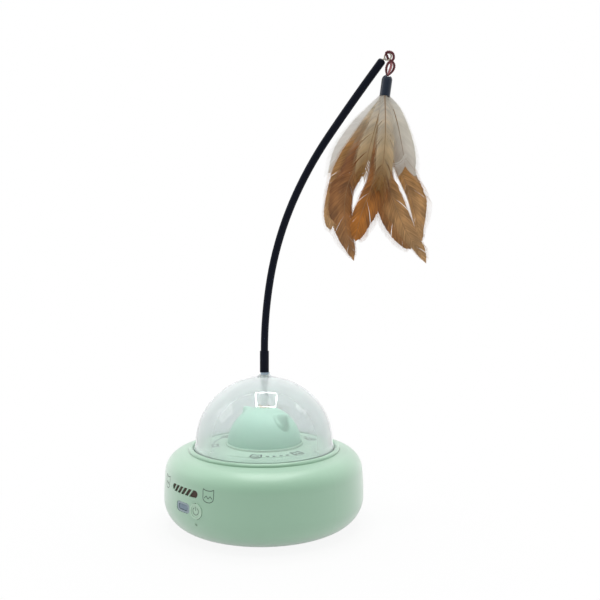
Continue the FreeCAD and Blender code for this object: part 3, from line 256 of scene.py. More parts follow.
socket_nylon = small_plastic("socket_nylon", "dfe5e4", 0.4)
coat(small_plastic("port_frame", "98a9b2", 0.35), "port_bezel")
coat(small_plastic("silicone", "9db8a3", 0.75, 0.8 * MM, 1.41), "anti_slip_ring")
coat(small_plastic("open_foam", "202020", 0.95, 1.2 * MM), "speaker_gasket")
coat(small_plastic("black_moulding", "15171b", 0.5), "usb_tongue", "switch_plunger", "tact_switch", "speaker")
coat(small_plastic("light_pipe", "8fae97", 0.25, 2 * MM), "led_pipe", "status_led")
coat(small_plastic("white_abs", "dcdedb", 0.45), "battery_holder", "motor_bracket", "gear_motor_gearbox")
coat(socket_nylon, "wand_socket")
coat(small_plastic("acetal", "ebe9e0", 0.3), "drive_gear", "pinion")
coat(small_plastic("solder_mask", "1d5a33", 0.3, 2 * MM), "main_board")
coat(small_plastic("cell_foil", "9aa5b4", 0.35, 3 * MM), "battery_cell")
coat(small_plastic("rod_sleeve", "0a1020", 0.5, 0.25 * MM, specular=0.12),
     "wand_sleeve", "wand_tube", "wand_end_cap")
coat(small_plastic("cap_gloss", "1e2b3d", 0.2, 1.5 * MM), "teaser_cap", "quill_plug")

# %% [markdown]
# Metals take their colour from the reflection itself, so Metallic is 1 and the base colour is the metal's
# own tint. The eye and the ferrule are nickel plated brass, slightly warm or cool. The wire and the
# screws are plain steel, drawn or rolled, with a rougher face. Wear makes some spots glossier than others.

# %% Metals
POLISHED, DULLED = 0.7, 1.4


def metal(name, colour, roughness, grain):
    made, tree, shader = new_material(name)
    place = add(tree, "TexCoord").outputs["Object"]
    wear = add(tree, "TexNoise", {"Vector": place, "Scale": 1 / grain, "Detail": 4})
    gloss = add(tree, "MapRange", {"Value": wear.outputs["Fac"], "To Min": roughness * POLISHED,
                                   "To Max": roughness * DULLED})
    fill(tree, shader, {"Base Color": linear(colour), "Metallic": 1.0, "Roughness": gloss.outputs["Result"]})
    return made


coat(metal("nickel_plate", "cfc8b8", 0.22, 1 * MM), "tip_eye", "usb_port")
coat(metal("ferrule_nickel", "9fb0bd", 0.3, 1 * MM), "wand_ferrule")
coat(metal("plain_steel", "a9abad", 0.35, 2 * MM), "cover_screws", "board_screws", "bracket_screws",
     "ballast_plate", "gear_motor_can", "motor_shaft", "spindle", "retaining_clip", "wand_core", "wand_pin")
coat(metal("sintered_bronze", "b08a55", 0.45, 0.5 * MM), "lower_bush", "upper_bush")

# %% [markdown]
# Behind the sound slots lies a dark brown woven mesh. Its threads are 0.4 mm apart, which just shows as a
# fine grid from close by: two wave textures at right angles, one across and one up. A wave texture of
# scale 1 repeats every 2 pi / 20 = 0.314 m, so its scale is that length over the threads' pitch.

# %% Sound mesh
THREAD_PITCH = 0.4 * MM
WAVE_REPEAT = 0.314


def woven_mesh():
    made, tree, shader = new_material("sound_mesh_weave")
    place = add(tree, "TexCoord").outputs["Object"]
    threads = [add(tree, "TexWave", {"Vector": place, "Scale": WAVE_REPEAT / THREAD_PITCH},
                   bands_direction=way) for way in ("X", "Z")]
    weave = add(tree, "Math", {0: threads[0].outputs["Fac"], 1: threads[1].outputs["Fac"]},
                operation="MAXIMUM")
    shade = add(tree, "Mix", {"Factor": weave.outputs[0], 6: linear("2c211d"), 7: linear("5b4a41")},
                data_type="RGBA")
    relief = add(tree, "Bump", {"Height": weave.outputs[0], "Strength": 0.6, "Distance": 0.1 * MM})
    fill(tree, shader, {"Base Color": shade.outputs[2], "Roughness": 0.8, "Normal": relief.outputs["Normal"]})
    return made


coat(woven_mesh(), "sound_mesh")

# %% [markdown]
# The prints on the toy are ink: cat heads and dots, pad-printed onto the plastic. Ink could be painted in
# the material, but its edge would blur. So each print is a thin ribbon of geometry. Every point of it is
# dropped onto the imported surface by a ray, which a search tree over that surface answers, and lifted by a
# hair, so that it follows the curve under it.

# %% Drop points onto a surface
RAY_OUTSIDE, RAY_ABOVE = 90 * MM, 100 * MM
HOUSING_RADIUS = 65
DECK_CIRCLE = 33.2


def surface_of(name):
    """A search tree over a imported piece"""
    mesh = nodes[name].data
    return BVHTree.FromPolygons([v.co for v in mesh.vertices], [p.vertices for p in mesh.polygons])


def on_surface(tree, start, way):
    """The point that a ray meets, and the direction out of the surface there"""
    point, normal, *_ = tree.ray_cast(start, way)
    return point, normal if normal.dot(way) < 0 else -normal


housing_tree, deck_tree, button_tree = (surface_of(n) for n in ("base_shell", "deck", "power_button"))


def on_housing(degrees, side, high):
    """Side is level, along the housing's skin, from an azimuth"""
    out = round_axis(math.radians(degrees) + side / HOUSING_RADIUS)
    return on_surface(housing_tree, out * RAY_OUTSIDE + UP * high * MM, -out)


def on_deck(degrees, side, inward):
    """Side is along the deck's edge, and inward is towards the axis"""
    turned = math.radians(degrees) + side / DECK_CIRCLE
    return on_surface(deck_tree, round_axis(turned, (DECK_CIRCLE - inward) * MM, RAY_ABOVE), -UP)


def on_button(side, high):
    return on_surface(button_tree, Vector((side * MM, -RAY_OUTSIDE, high * MM)), Vector((0, 1, 0)))


print("the housing's skin at the back:", [round(x / MM, 1) for x in on_housing(90, 0, 20)[0]])

# %% [markdown]
# An inked line is a strip along a path. Where the path turns, the strip's two edges lean on the mean of
# the directions before and after, so that it keeps its width round the corner. Top and underside are
# joined at the edges: a closed solid, as every piece must be that another program is to load.

# %% Ink a line
INK_LIFT = 0.04 * MM
STRIP_CORNERS = ((-1, 1), (1, 1), (1, -0.5), (-1, -0.5))


def even_path(points, closed, gap=0.35):
    """Points of a flat path, with more between them where they are far apart"""
    points = [np.array(p, float) for p in points] + ([np.array(points[0], float)] if closed else [])
    out = []
    for a, b in zip(points, points[1:]):
        steps = max(1, round(float(np.linalg.norm(b - a)) / gap))
        out += [a + (b - a) * k / steps for k in range(steps)]
    return out if closed else out + [points[-1]]


def ink_line(points, wide, drop, closed=False):
    """Vertices and faces of one line; drop turns two flat numbers into a place and a direction out"""
    path = even_path(points, closed)
    count = len(path)
    vertices, faces = [], []
    for k, p in enumerate(path):
        before = path[k - 1] if closed or k else p
        after = path[(k + 1) % count] if closed or k < count - 1 else p
        along = (after - before) / max(1e-6, np.linalg.norm(after - before))
        across = np.array((-along[1], along[0])) * wide / 2
        for edge, lift in STRIP_CORNERS:
            place, out = drop(*(p + across * edge))
            vertices.append(place + out * INK_LIFT * lift)
    for k in range(count if closed else count - 1):
        a, b = 4 * k, 4 * ((k + 1) % count)
        faces += [(a + i, b + i, b + (i + 1) % 4, a + (i + 1) % 4) for i in range(4)]
    if not closed:
        faces += [(0, 1, 2, 3), tuple(4 * (count - 1) + i for i in (3, 2, 1, 0))]
    return vertices, faces


print("a square of side 1 mm gets", len(even_path([(0, 0), (1, 0), (1, 1), (0, 1)], True)), "points")

# %% [markdown]
# A dot is a fan of triangles round its middle, twice, joined at the rim.

# %% Ink a dot


def ink_dot(middle, half, drop, corners=12):
    """Vertices and faces of one filled dot"""
    ring = [2 * math.pi * k / corners for k in range(corners)]
    flat = [(middle[0] + half[0] * math.cos(a), middle[1] + half[1] * math.sin(a)) for a in ring]
    placed = [drop(*p) for p in [middle] + flat]
    vertices = [p + out * INK_LIFT for p, out in placed] + [p - out * INK_LIFT / 2 for p, out in placed]
    low, faces = corners + 1, []
    for k in range(corners):
        a, b = 1 + k, 1 + (k + 1) % corners
        faces += [(0, a, b), (low, low + b, low + a), (a, low + a, low + b, b)]
    return vertices, faces


dot = ink_dot((0, 0), (1, 1), lambda side, high: on_housing(90, side, 20 + high))
print("a dot has", len(dot[0]), "points")

# %% [markdown]
# Every piece that this script makes starts as a list of points and a list of faces. One function turns
# them into an object, and a second one joins the lines and dots of a print and makes their faces agree on
# which side is out.

# %% Make pieces


def new_piece(name, vertices, faces, *materials, smooth=False):
    """An object of points in metres and faces between them"""
    mesh = bpy.data.meshes.new(name)
    mesh.from_pydata(vertices, [], faces)
    mesh.polygons.foreach_set("use_smooth", [smooth] * len(faces))
    for material in materials:
        mesh.materials.append(material)
    made = bpy.data.objects.new(name, mesh)
    bpy.context.scene.collection.objects.link(made)
    print(name, len(faces), "faces")
    return made


def print_ink(name, shapes, material, body):
    """Join lines and dots into one printed piece"""
    vertices, faces = [], []
    for some, their in shapes:
        faces += [tuple(i + len(vertices) for i in face) for face in their]
        vertices += some
    made = new_piece(name, vertices, faces, material)
    tidy = bmesh.new()
    tidy.from_mesh(made.data)
    bmesh.ops.recalc_face_normals(tidy, faces=tidy.faces)
    tidy.to_mesh(made.data)
    tidy.free()
    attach(made, body)


# %% [markdown]
# The cat head is drawn here as one outline with two ears, and a zigzag for the mouth. It stands once on
# each side of the sound slots, and, flattened by the view, in three pairs round the deck, each pair with
# a row of dots between. Those on the deck are bolder. The ink is a thin grey-green lacquer, slightly
# glossier than the satin plastic under it.

# %% Cat heads and dots
HEAD_OUTLINE = [(-3.75, 3.9), (-2.7, 3.35), (-1.9, 3.1), (-1, 3.0), (0, 2.95), (1, 3.0), (1.9, 3.1),
                (2.7, 3.35), (3.75, 3.9), (3.85, 2.4), (3.8, 0.6), (3.8, -1.1), (3.4, -2.4), (2.6, -3.2),
                (1.3, -3.75), (0, -3.9), (-1.3, -3.75), (-2.6, -3.2), (-3.4, -2.4), (-3.8, -1.1),
                (-3.8, 0.6), (-3.85, 2.4)]
MOUTH = [(-2.8, -1.5), (-1.35, -0.1), (0, -1.7), (1.35, -0.1), (2.8, -1.5)]
PANEL = 270
ICON_TURNS = {"left": -19.6, "right": 18.3}
ICON_HIGH = 33.5
ICON_LINES, DECK_ICON_LINES = (0.42, 0.4), (1.15, 1.0)
DECK_GROUPS = (333.5, 93.5, 213.5)
DECK_ICON_TURN = 23.6
DECK_ICON_SIZE = 0.86
DOT_SIDES = (-6.5, -2.4, 1.9, 6.3)
DOT_HALF = (1.15, 1.0)

ink = small_plastic("pad_print_ink", "4f6358", 0.35, 0.5 * MM)
faint_ink = small_plastic("thin_pad_print_ink", "24332a", 0.4, 0.5 * MM)


def cat_head(drop, lines, size=1.0):
    """Outline and mouth, with the widths of their lines"""
    outline, mouth = ([(x * size, y * size) for x, y in line] for line in (HEAD_OUTLINE, MOUTH))
    return [ink_line(outline, lines[0], drop, True), ink_line(mouth, lines[1], drop)]


for name, turned in ICON_TURNS.items():
    head = cat_head(lambda side, high: on_housing(PANEL + turned, side, ICON_HIGH + high), ICON_LINES)
    print_ink("cat_head_print_" + name, head, ink, "base")
for number, middle in enumerate(DECK_GROUPS, 1):
    shapes = []
    for turned in (-DECK_ICON_TURN, DECK_ICON_TURN):
        shapes += cat_head(lambda side, inward: on_deck(middle + turned, side, inward), DECK_ICON_LINES,
                           DECK_ICON_SIZE)
    shapes += [ink_dot((side, 0), DOT_HALF, lambda side, inward: on_deck(middle, side, inward))
               for side in DOT_SIDES]
    print_ink(f"deck_print_{number}", shapes, faint_ink, "base")

# %% [markdown]
# The button carries the usual power sign: a ring that is open at the top, and a stroke in the opening.
# It lies in the button's dished face, and moves in and out with it.

# %% Power sign
BUTTON_SIDE, BUTTON_HIGH = 11.8, 23.1
SIGN_RADIUS, SIGN_OPEN, SIGN_LINE = 2.15, 28, 0.45
SIGN_STROKE = [(0, 0.35), (0, 2.75)]

turns = [math.radians(a) for a in np.linspace(90 + SIGN_OPEN, 450 - SIGN_OPEN, 40)]
sign = [[(SIGN_RADIUS * math.cos(a), SIGN_RADIUS * math.sin(a)) for a in turns], SIGN_STROKE]
print_ink("power_sign", [ink_line(line, SIGN_LINE, lambda side, high: on_button(BUTTON_SIDE + side,
                                                                                BUTTON_HIGH + high))
                         for line in sign],
          small_plastic("sign_ink", "6d8a76", 0.4, 0.5 * MM), "power_button")

# %% [markdown]
# The cat cover is a half ball with two ears that grow softly out of it, each hollowed at its front. The
# packed one has leaning wedges for ears. Here every point of a ball is moved outwards by a height that
# depends on how far it lies from the ear's middle: a rounded cone, less a shallow dent. One rule for
# every point gives the soft blend that a moulded ear has, with no seam.

# %% Shape of the ears
COVER_RADIUS, COVER_SKIN = 24.0, 1.6
COVER_MIDDLE = 51.4
EAR_TURN, EAR_HIGH = math.radians(43), 6.4
EAR_REACH, EAR_DEEP, EAR_OFF = 7.4, 5.2, 0.8
EAR_FOOT, EAR_TIP_SOFT, EAR_HOLLOWS_IN = 1.06, 0.012, 1.3
DENT, DENT_REACH, DENT_DEEP, DENT_OFF, DENT_FRONT = 1.7, 3.2, 1.6, 0.6, 2.5


def ear_height(way):
    """How far the skin stands out, in mm, in a direction from the ball's middle"""
    along = (math.atan2(abs(way.x), way.z) - EAR_TURN) * COVER_RADIUS
    forward = -way.y * COVER_RADIUS
    apart = math.sqrt(((along - EAR_OFF) / EAR_REACH) ** 2 + (forward / EAR_DEEP) ** 2 + EAR_TIP_SOFT)
    ear = EAR_HIGH * max(0.0, EAR_FOOT - apart) ** EAR_HOLLOWS_IN
    from_dent = ((along - DENT_OFF) / DENT_REACH) ** 2 + ((forward - DENT_FRONT) / DENT_DEEP) ** 2
    return ear - DENT * math.exp(-from_dent) * min(1.0, ear / 2)


tip = round_axis(0, math.sin(EAR_TURN), math.cos(EAR_TURN))
print("an ear stands out by", round(ear_height(tip), 1), "mm")

# %% [markdown]
# The cover is a body of revolution but for its ears, so it is made of rings: down the outside, and up
# again inside to the boss that holds the upper bush.

# %% Cat cover
COVER_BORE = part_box("upper_bush")[1][0] / MM + 0.05
COVER_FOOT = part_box("cat_cover")[0][2] / MM
COVER_BOSS, COVER_BOSS_LOW = 5.5, 71.6
TURNS, RINGS, INNER_RINGS = 360, 110, 30


def eared(lean):
    """A ring of the outside, where it leans this far from the top"""
    ways = [round_axis(2 * math.pi * t / TURNS, math.sin(lean), math.cos(lean)) for t in range(TURNS)]
    return [(way * (COVER_RADIUS + ear_height(way)) + UP * COVER_MIDDLE) * MM for way in ways]


bore_lean = math.asin(COVER_BORE / COVER_RADIUS)
rings = [eared(bore_lean + (math.pi / 2 - bore_lean) * k / RINGS) for k in range(RINGS + 1)]
inner = COVER_RADIUS - COVER_SKIN
inside = [(COVER_RADIUS, COVER_FOOT), (inner, COVER_FOOT)]
inside += [(inner * math.sin(a), COVER_MIDDLE + inner * math.cos(a))
           for a in np.linspace(math.pi / 2, math.asin(COVER_BOSS / inner), INNER_RINGS)]
inside += [(COVER_BOSS, COVER_BOSS_LOW), (COVER_BORE, COVER_BOSS_LOW)]
rings += [[round_axis(2 * math.pi * t / TURNS, away, high) * MM for t in range(TURNS)]
          for away, high in inside]
starts = [TURNS * r for r in range(len(rings))]
faces = [(a + t, b + t, b + (t + 1) % TURNS, a + (t + 1) % TURNS)
         for a, b in zip(starts, starts[1:] + starts[:1]) for t in range(TURNS)]
cover = new_piece("cat_ear_cover", [p for ring in rings for p in ring], faces, cover_abs, smooth=True)
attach(cover, "base")
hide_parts("cat_cover")

# %% [markdown]
# The charging port is closed by a soft dust plug, so it shows as a plain grey-blue oval. The plug's face
# is a stadium, two half circles joined by straight lines. Its rounded edge is the same outline again and
# again, each a little smaller and further out.

# %% Dust plug
PLUG_WIDE, PLUG_TALL, PLUG_ROUND, PORT_HIGH = 4.4, 1.6, 0.35, 23.1
PLUG_BACK, PLUG_FACE = 61.1, 64.45


def stadium(shrink):
    """Points round an outline with half circles at its ends"""
    wide, tall = PLUG_WIDE - shrink, PLUG_TALL - shrink
    turns = [math.pi / 2 - math.pi * k / 12 for k in range(13)]
    right = [(wide - tall + tall * math.cos(a), tall * math.sin(a)) for a in turns]
    return right + [(-x, -z) for x, z in right]


def band(low, high, count):
    """Faces between two rings of as many points, which start at the numbers low and high"""
    return [(low + k, low + (k + 1) % count, high + (k + 1) % count, high + k) for k in range(count)]


layers = [(PLUG_BACK, 0)] + [(PLUG_FACE - PLUG_ROUND * (1 - math.sin(a)), PLUG_ROUND * (1 - math.cos(a)))
                             for a in (0, math.pi / 6, math.pi / 3, math.pi / 2)]
rings = [[Vector((x, -away, PORT_HIGH + z)) * MM for x, z in stadium(shrink)] for away, shrink in layers]
count, last = len(rings[0]), len(rings[0]) * (len(layers) - 1)
faces = [face for low in range(0, last, count) for face in band(low, low + count, count)]
faces += [tuple(range(count))[::-1], tuple(range(last, last + count))]
plug = new_piece("dust_plug", [p for ring in rings for p in ring], faces,
                 small_plastic("plug_silicone", "8496a6", 0.5, 0.6 * MM, 1.41))
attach(plug, "base")

# %% [markdown]
# Between the bronze bush and the wand's socket the spindle wears a white nylon sleeve, which is why so
# little of it shows through the dome. It is a short tube with its outer edges rounded.

# %% Spindle sleeve
SLEEVE_OUT, SLEEVE_IN, SLEEVE_LOW, SLEEVE_HIGH, SLEEVE_ROUND = 2.45, 2.02, 75.6, 87.9, 0.25
SLEEVE_SIDES = 64

profile = [(SLEEVE_IN, SLEEVE_LOW), (SLEEVE_OUT - SLEEVE_ROUND, SLEEVE_LOW),
           (SLEEVE_OUT, SLEEVE_LOW + SLEEVE_ROUND), (SLEEVE_OUT, SLEEVE_HIGH - SLEEVE_ROUND),
           (SLEEVE_OUT - SLEEVE_ROUND, SLEEVE_HIGH), (SLEEVE_IN, SLEEVE_HIGH)]
points = [round_axis(2 * math.pi * k / SLEEVE_SIDES, away, high) * MM for away, high in profile
          for k in range(SLEEVE_SIDES)]
starts = range(0, len(points), SLEEVE_SIDES)
faces = [face for low in starts for face in band(low, (low + SLEEVE_SIDES) % len(points), SLEEVE_SIDES)]
sleeve = new_piece("spindle_sleeve", points, faces, socket_nylon)
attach(sleeve, "spindle")

# %% [markdown]
# A line through a few points by hand has corners. A cubic that takes its slope at each point from the
# neighbours on both sides goes through all the points and turns smoothly, so the cord, the quills and the
# widths of the vanes can be given by a few numbers. Its samples are then spread evenly along its length.

# %% A smooth line through points


def between(a, b, c, d, t):
    """A place between b and c, at a share t of the way"""
    return 0.5 * (2 * b + (c - a) * t + (2 * a - 5 * b + 4 * c - d) * t ** 2
                  + (3 * b - a - 3 * c + d) * t ** 3)


def smooth_line(points, count):
    """Samples of a smooth line through the points"""
    points = np.array(points, float)
    ends = np.vstack([2 * points[0] - points[1], points, 2 * points[-1] - points[-2]])
    shares = [(min(int(share), len(points) - 2), share) for share in np.linspace(0, len(points) - 1, count)]
    return np.array([between(*ends[i:i + 4], share - i) for i, share in shares])


def spread(fine, count, endpoint=True):
    """Places that are evenly spaced along a finely sampled line, and the line's length"""
    run = np.concatenate([[0], np.cumsum(np.linalg.norm(np.diff(fine, axis=0), axis=1))])
    wanted = np.linspace(0, run[-1], count, endpoint=endpoint)
    return np.stack([np.interp(wanted, run, fine[:, k]) for k in range(3)], axis=1), run[-1]


def even_line(points, count):
    """Places evenly spaced along a smooth line through the points, and its length"""
    return spread(smooth_line(points, 20 * len(points)), count)


def closed_line(points, count):
    """The same for a line that closes on itself"""
    points = np.array(points, float)
    fine = [between(*(points[(int(share) + k) % len(points)] for k in (-1, 0, 1, 2)), share - int(share))
            for share in np.linspace(0, len(points), 40 * len(points), endpoint=False)]
    return spread(np.array(fine + [fine[0]]), count, endpoint=False)


print("a bow from 0 to 2 by 1 is", round(even_line([(0, 0, 0), (1, 1, 0), (2, 0, 0)], 50)[1], 2), "long")

# %% [markdown]
# A tube round a path needs a direction to its side at every point. It is carried from point to point and
# turned as little as the path allows. A closed path comes round a little turned, and that angle is spread
# over the whole length.

# %% Carry a side along a path


def carry_frames(path, closed):
    """The direction along the path and one to its side, at each point, and the angle left at the end"""
    count = len(path)
    side = UP.cross(path[1] - path[-1] if closed else path[1] - path[0]).normalized()
    frames = []
    for k in range(count + closed):
        after = path[(k + 1) % count] if closed else path[min(k + 1, count - 1)]
        along = (after - (path[k % count - 1] if closed or k else path[0])).normalized()
        side = (side - along * side.dot(along)).normalized()
        frames.append((along, side.copy()))
    (ahead, first), last = frames[0], frames[-1][1]
    off = last.angle(first) if closed else 0
    return frames, off if last.cross(first).dot(ahead) > 0 else -off


def give_grain(piece, grain):
    """Keep for each vertex how far along, how far across and at which share of the piece it lies"""
    made = piece.data.attributes.new("barb", "FLOAT_VECTOR", "POINT")
    made.data.foreach_set("vector", np.array(grain, np.float32).ravel())


circle = [azimuth(a) * MM for a in range(0, 360, 10)]
print("a flat ring is left with an angle of", round(carry_frames(circle, True)[1], 3))

# %% [markdown]
# The cord that ties the teaser to the metal eye is a closed loop of red-brown string. It comes up from
# the cap, goes through the eye, over the top in a slack bow, crosses itself, and goes down to the cap
# again. A round tube would look like wire. String is two yarns laid round each other, so the tube's
# section is waisted, and turns as it goes along. It is thinner where the cap's hole pinches it.

# %% Twist a cord
EYE_MIDDLE = Vector((79.3925, 27.337, 291.2865)) * MM
LAY_LENGTH = 1.9
YARN_WAIST = 0.72
CAP_TOP = -11.2
PINCHED, PINCH_LONG = 0.55, 3
CORD_SIDES = 16


def twist_cord(name, flat, length, radius, closed, material):
    """Two yarns laid round each other, along points that are even to the side, up and to the front"""
    path = [EYE_MIDDLE + (level_right * s + UP * u - level_ahead * f) * MM for s, u, f in flat]
    count = len(path)
    frames, off = carry_frames(path, closed)
    turns = round(length / LAY_LENGTH) * 2 * math.pi
    vertices, faces, grain = [], [], []
    for k in range(count):
        along, side = frames[k]
        up = along.cross(side)
        share = k / count
        pinch = min(1, PINCHED + (1 - PINCHED) * (flat[k][1] - CAP_TOP) / PINCH_LONG)
        for n in range(CORD_SIDES):
            a = 2 * math.pi * n / CORD_SIDES
            lobe = YARN_WAIST + (1 - YARN_WAIST) * abs(math.cos(a))
            b = a + turns * share + off * share
            vertices.append(path[k] + (side * math.cos(b) + up * math.sin(b)) * radius * pinch * lobe * MM)
            grain.append((share * length, a * radius, share))
    for k in range(count if closed else count - 1):
        faces += band(k * CORD_SIDES, (k + 1) % count * CORD_SIDES, CORD_SIDES)
    if not closed:
        faces += [tuple(range(CORD_SIDES))[::-1], tuple(range(len(vertices) - CORD_SIDES, len(vertices)))]
    made = new_piece(name, vertices, faces, material, smooth=True)
    give_grain(made, grain)
    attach(made, "hang_loop")
    print(name, round(length, 1), "mm of cord")
    return made


print("a loop of 36 mm has", round(36 / LAY_LENGTH), "turns of the yarns")

# %% [markdown]
# The yarn looks like dyed cotton. Its fibres run along the twist, so their noise is laid over the grain
# that each vertex keeps, and not over its place, where it would cut across them. The dye is uneven, from
# nearly black to a worn red.

# %% Yarn
FIBRES_PER_MM = 3.0


def twisted_yarn(name, deep, worn):
    made, tree, shader = new_material(name)
    grain = add(tree, "Attribute", attribute_name="barb").outputs["Vector"]
    fibre = add(tree, "TexNoise", {"Vector": grain, "Scale": FIBRES_PER_MM, "Detail": 3})
    dye = add(tree, "Mix", {"Factor": fibre.outputs["Fac"], 6: linear(deep), 7: linear(worn)},
              data_type="RGBA")
    relief = add(tree, "Bump", {"Height": fibre.outputs["Fac"], "Strength": 0.8, "Distance": 0.1 * MM})
    fill(tree, shader, {"Base Color": dye.outputs[2], "Roughness": 0.75, "Normal": relief.outputs["Normal"],
                        "Sheen Weight": 0.2})
    return made


maroon_yarn = twisted_yarn("maroon_twisted_yarn", "1c0a12", "8a3a42")
pink_yarn = twisted_yarn("pink_twisted_yarn", "b4584c", "e6a6b0")
print("yarns:", maroon_yarn.name, pink_yarn.name)

# %% [markdown]
# The loop's points are millimetres to the right, up and to the front of the eye's middle, as the camera
# sees it. The end of the string is left inside the loop, from the knot to the cap. There the dye has worn
# to pink.

# %% Cord loop and its end
CORD_RADIUS, CORD_STEPS = 0.8, 420
CORD_PATH = [(-0.55, -10.75, 0.1), (-0.75, -9.6, 0.2), (-0.95, -8.0, 0.4), (-0.8, -6.0, 0.8),
             (0.2, -4.0, 1.7), (1.8, -3.1, 2.3), (2.9, -2.0, 2.5), (3.1, -0.3, 2.5), (2.4, 1.4, 2.4),
             (1.0, 2.3, 1.8), (-0.5, 2.4, 1.0), (-1.2, 1.5, 0.55), (-0.5, 0.3, 0.1), (0.1, -0.8, -0.7),
             (1.0, -1.6, -0.95), (2.4, -2.5, -0.55), (3.6, -4.0, -0.2), (3.9, -5.9, -0.2),
             (3.1, -8.0, -0.15), (1.6, -9.8, -0.1), (0.7, -10.6, -0.15), (0.1, -11.15, 0)]
END_RADIUS, END_STEPS = 0.85, 70
END_PATH = [(1.55, -3.3, 0.5), (1.9, -4.2, 0.35), (2.0, -5.4, 0.3), (1.6, -6.9, 0.3), (0.95, -8.5, 0.2),
            (0.35, -10.1, 0.1), (0.1, -11.0, 0)]

outer_cord = twist_cord("cord_loop", *closed_line(CORD_PATH, CORD_STEPS), CORD_RADIUS, True, maroon_yarn)
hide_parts("hang_loop")
twist_cord("cord_end", *even_line(END_PATH, END_STEPS), END_RADIUS, False, pink_yarn)

# %% [markdown]
# The teaser is a bunch of ten feathers: six tan cock's hackles, and four cream ones with a loose, downy
# vane. A feather could be a flat card with a picture on it, but a card has no frayed edge and looks dead
# from the side. So each one is grown the way a real one is: a quill that tapers to nothing, and barbs
# that leave it at a slant on both sides. They are placed by millimetres to the side, below the cap's
# mouth and to the front. To the front means towards the camera, so that the outline stays as it is in the
# photograph while the bunch gains its depth.

# %% The teaser's frame
CAP_MOUTH = Vector((78.3135, 26.0958, 268.1943)) * MM


def in_teaser(side, drop, front):
    level = CAP_MOUTH + (level_right * side - UP * drop) * MM
    return level + (camera.matrix_world.translation - level).normalized() * front * MM


print("the cap's mouth is", round(in_teaser(0, 0, 0).z / MM), "mm above the floor")

# %% [markdown]
# While it grows, a feather keeps the line of its quill, which way its flat side faces, and the vertices,
# faces, grain and material numbers so far. Everything on it is a strip: rows of points that are joined.

# %% A feather's line and strips
SPINE_COUNT = 200
VANE, QUILL = 0, 1


def unit(rows):
    return rows / np.linalg.norm(rows, axis=-1, keepdims=True)


class Feather:
    """One feather while it grows"""

    def __init__(self, points):
        self.spine, self.length = even_line([in_teaser(*p) / MM for p in points], SPINE_COUNT)
        self.ahead = unit(np.gradient(self.spine, axis=0))
        to_camera = np.array(azimuth(CAMERA_FROM - 90))
        self.facing = unit(to_camera - self.ahead * (self.ahead @ to_camera)[:, None])
        self.vertices, self.faces, self.grain, self.kinds = [], [], [], []

    def strip(self, rows, grains, kind, closed=False):
        """Join rows of points into a sheet, or into a tube if it is closed"""
        first, wide = len(self.vertices), len(rows[0])
        for row, grain in zip(rows, grains):
            self.vertices.extend(tuple(p * MM) for p in row)
            self.grain.extend(grain)
        for start in range(first, first + wide * (len(rows) - 1), wide):
            self.faces += band(start, start + wide, wide)[:None if closed else -1]
        self.kinds += [kind] * (len(self.faces) - len(self.kinds))


straight = Feather([(0, 0, 0), (0, 50, 0), (0, 100, 0)])
print("a straight quill of", round(straight.length), "mm faces", straight.facing[0].round(2))

# %% [markdown]
# The vane is made in clumps, because barbs hold on to their neighbours by tiny hooks, and split where the
# hooks have come undone. Each clump is a small sheet whose barbs close up a little towards their ends,
# which leaves the clefts between clumps. A barb leaves the quill at a wide slant near the root and at a
# narrow one near the tip, and bends forwards as it goes.

# %% Grow one barb
BARB_STEPS, HAIR_STEPS = 8, 3
BARB_REACH = 1.09
BARB_SHARES = np.linspace(0, BARB_REACH, BARB_STEPS + HAIR_STEPS + 1)
ROOT_SLANT, SLANT_LOST = 61, 27
BARB_BEND, CLUMP_CLOSES = 0.26, 0.04


def grow_barb(feather, share, way, wide, tilt, lift, off_middle, habit):
    """The points of a barb, which starts at a share of the quill's length, and how long it is"""
    i = min(int(share * (SPINE_COUNT - 1)), SPINE_COUNT - 2)
    root = feather.spine[i] + (feather.spine[i + 1] - feather.spine[i]) * (share * (SPINE_COUNT - 1) - i)
    forward, facing = feather.ahead[i], feather.facing[i]
    outward = np.cross(forward, facing) * way
    roll = math.radians(habit["twist"]) * share * way
    outward, facing = (outward * math.cos(roll) + facing * math.sin(roll),
                       facing * math.cos(roll) - outward * math.sin(roll))
    slant = math.radians(ROOT_SLANT - SLANT_LOST * share ** 0.8) + tilt
    long = wide / max(0.4, math.sin(slant))
    line = []
    for t in BARB_SHARES:
        bend = slant * (1 - BARB_BEND * t)
        line.append(root + forward * (math.cos(bend) * long * t - CLUMP_CLOSES * off_middle * t ** 2)
                    + outward * (math.sin(bend) * long * t)
                    + facing * (wide * (lift * t - habit["cup"] * t ** 2)))
    return line, long


flat = {"twist": 0, "cup": 0}
print("a vane 10 mm wide has barbs of", round(grow_barb(straight, 0, 1, 10, 0, 0, 0, flat)[1], 1), "mm")

# %% [markdown]
# Past the clump's edge each barb goes on alone as a hair, so the outline is soft. Down has no hooks: from
# where the vane is loose, every barb is a thin ribbon by itself and stands out at a slant of its own. The
# chances are drawn clump by clump and barb by barb, from a seed for each feather.

# %% Grow one side of the vane
VANE_FROM = 0.015
LOOSE_TILT, LOOSE_LIFT, LOOSE_REACH = 8, 0.14, 0.12
CLUMP_LIFT, CLUMP_REACH, BARB_UNEVEN = 0.035, 0.025, 0.015
LOOSE_HAIR, CLUMP_HAIR = 0.14, 0.2
TIP_END, TIP_BLUNT = 1.004, 14


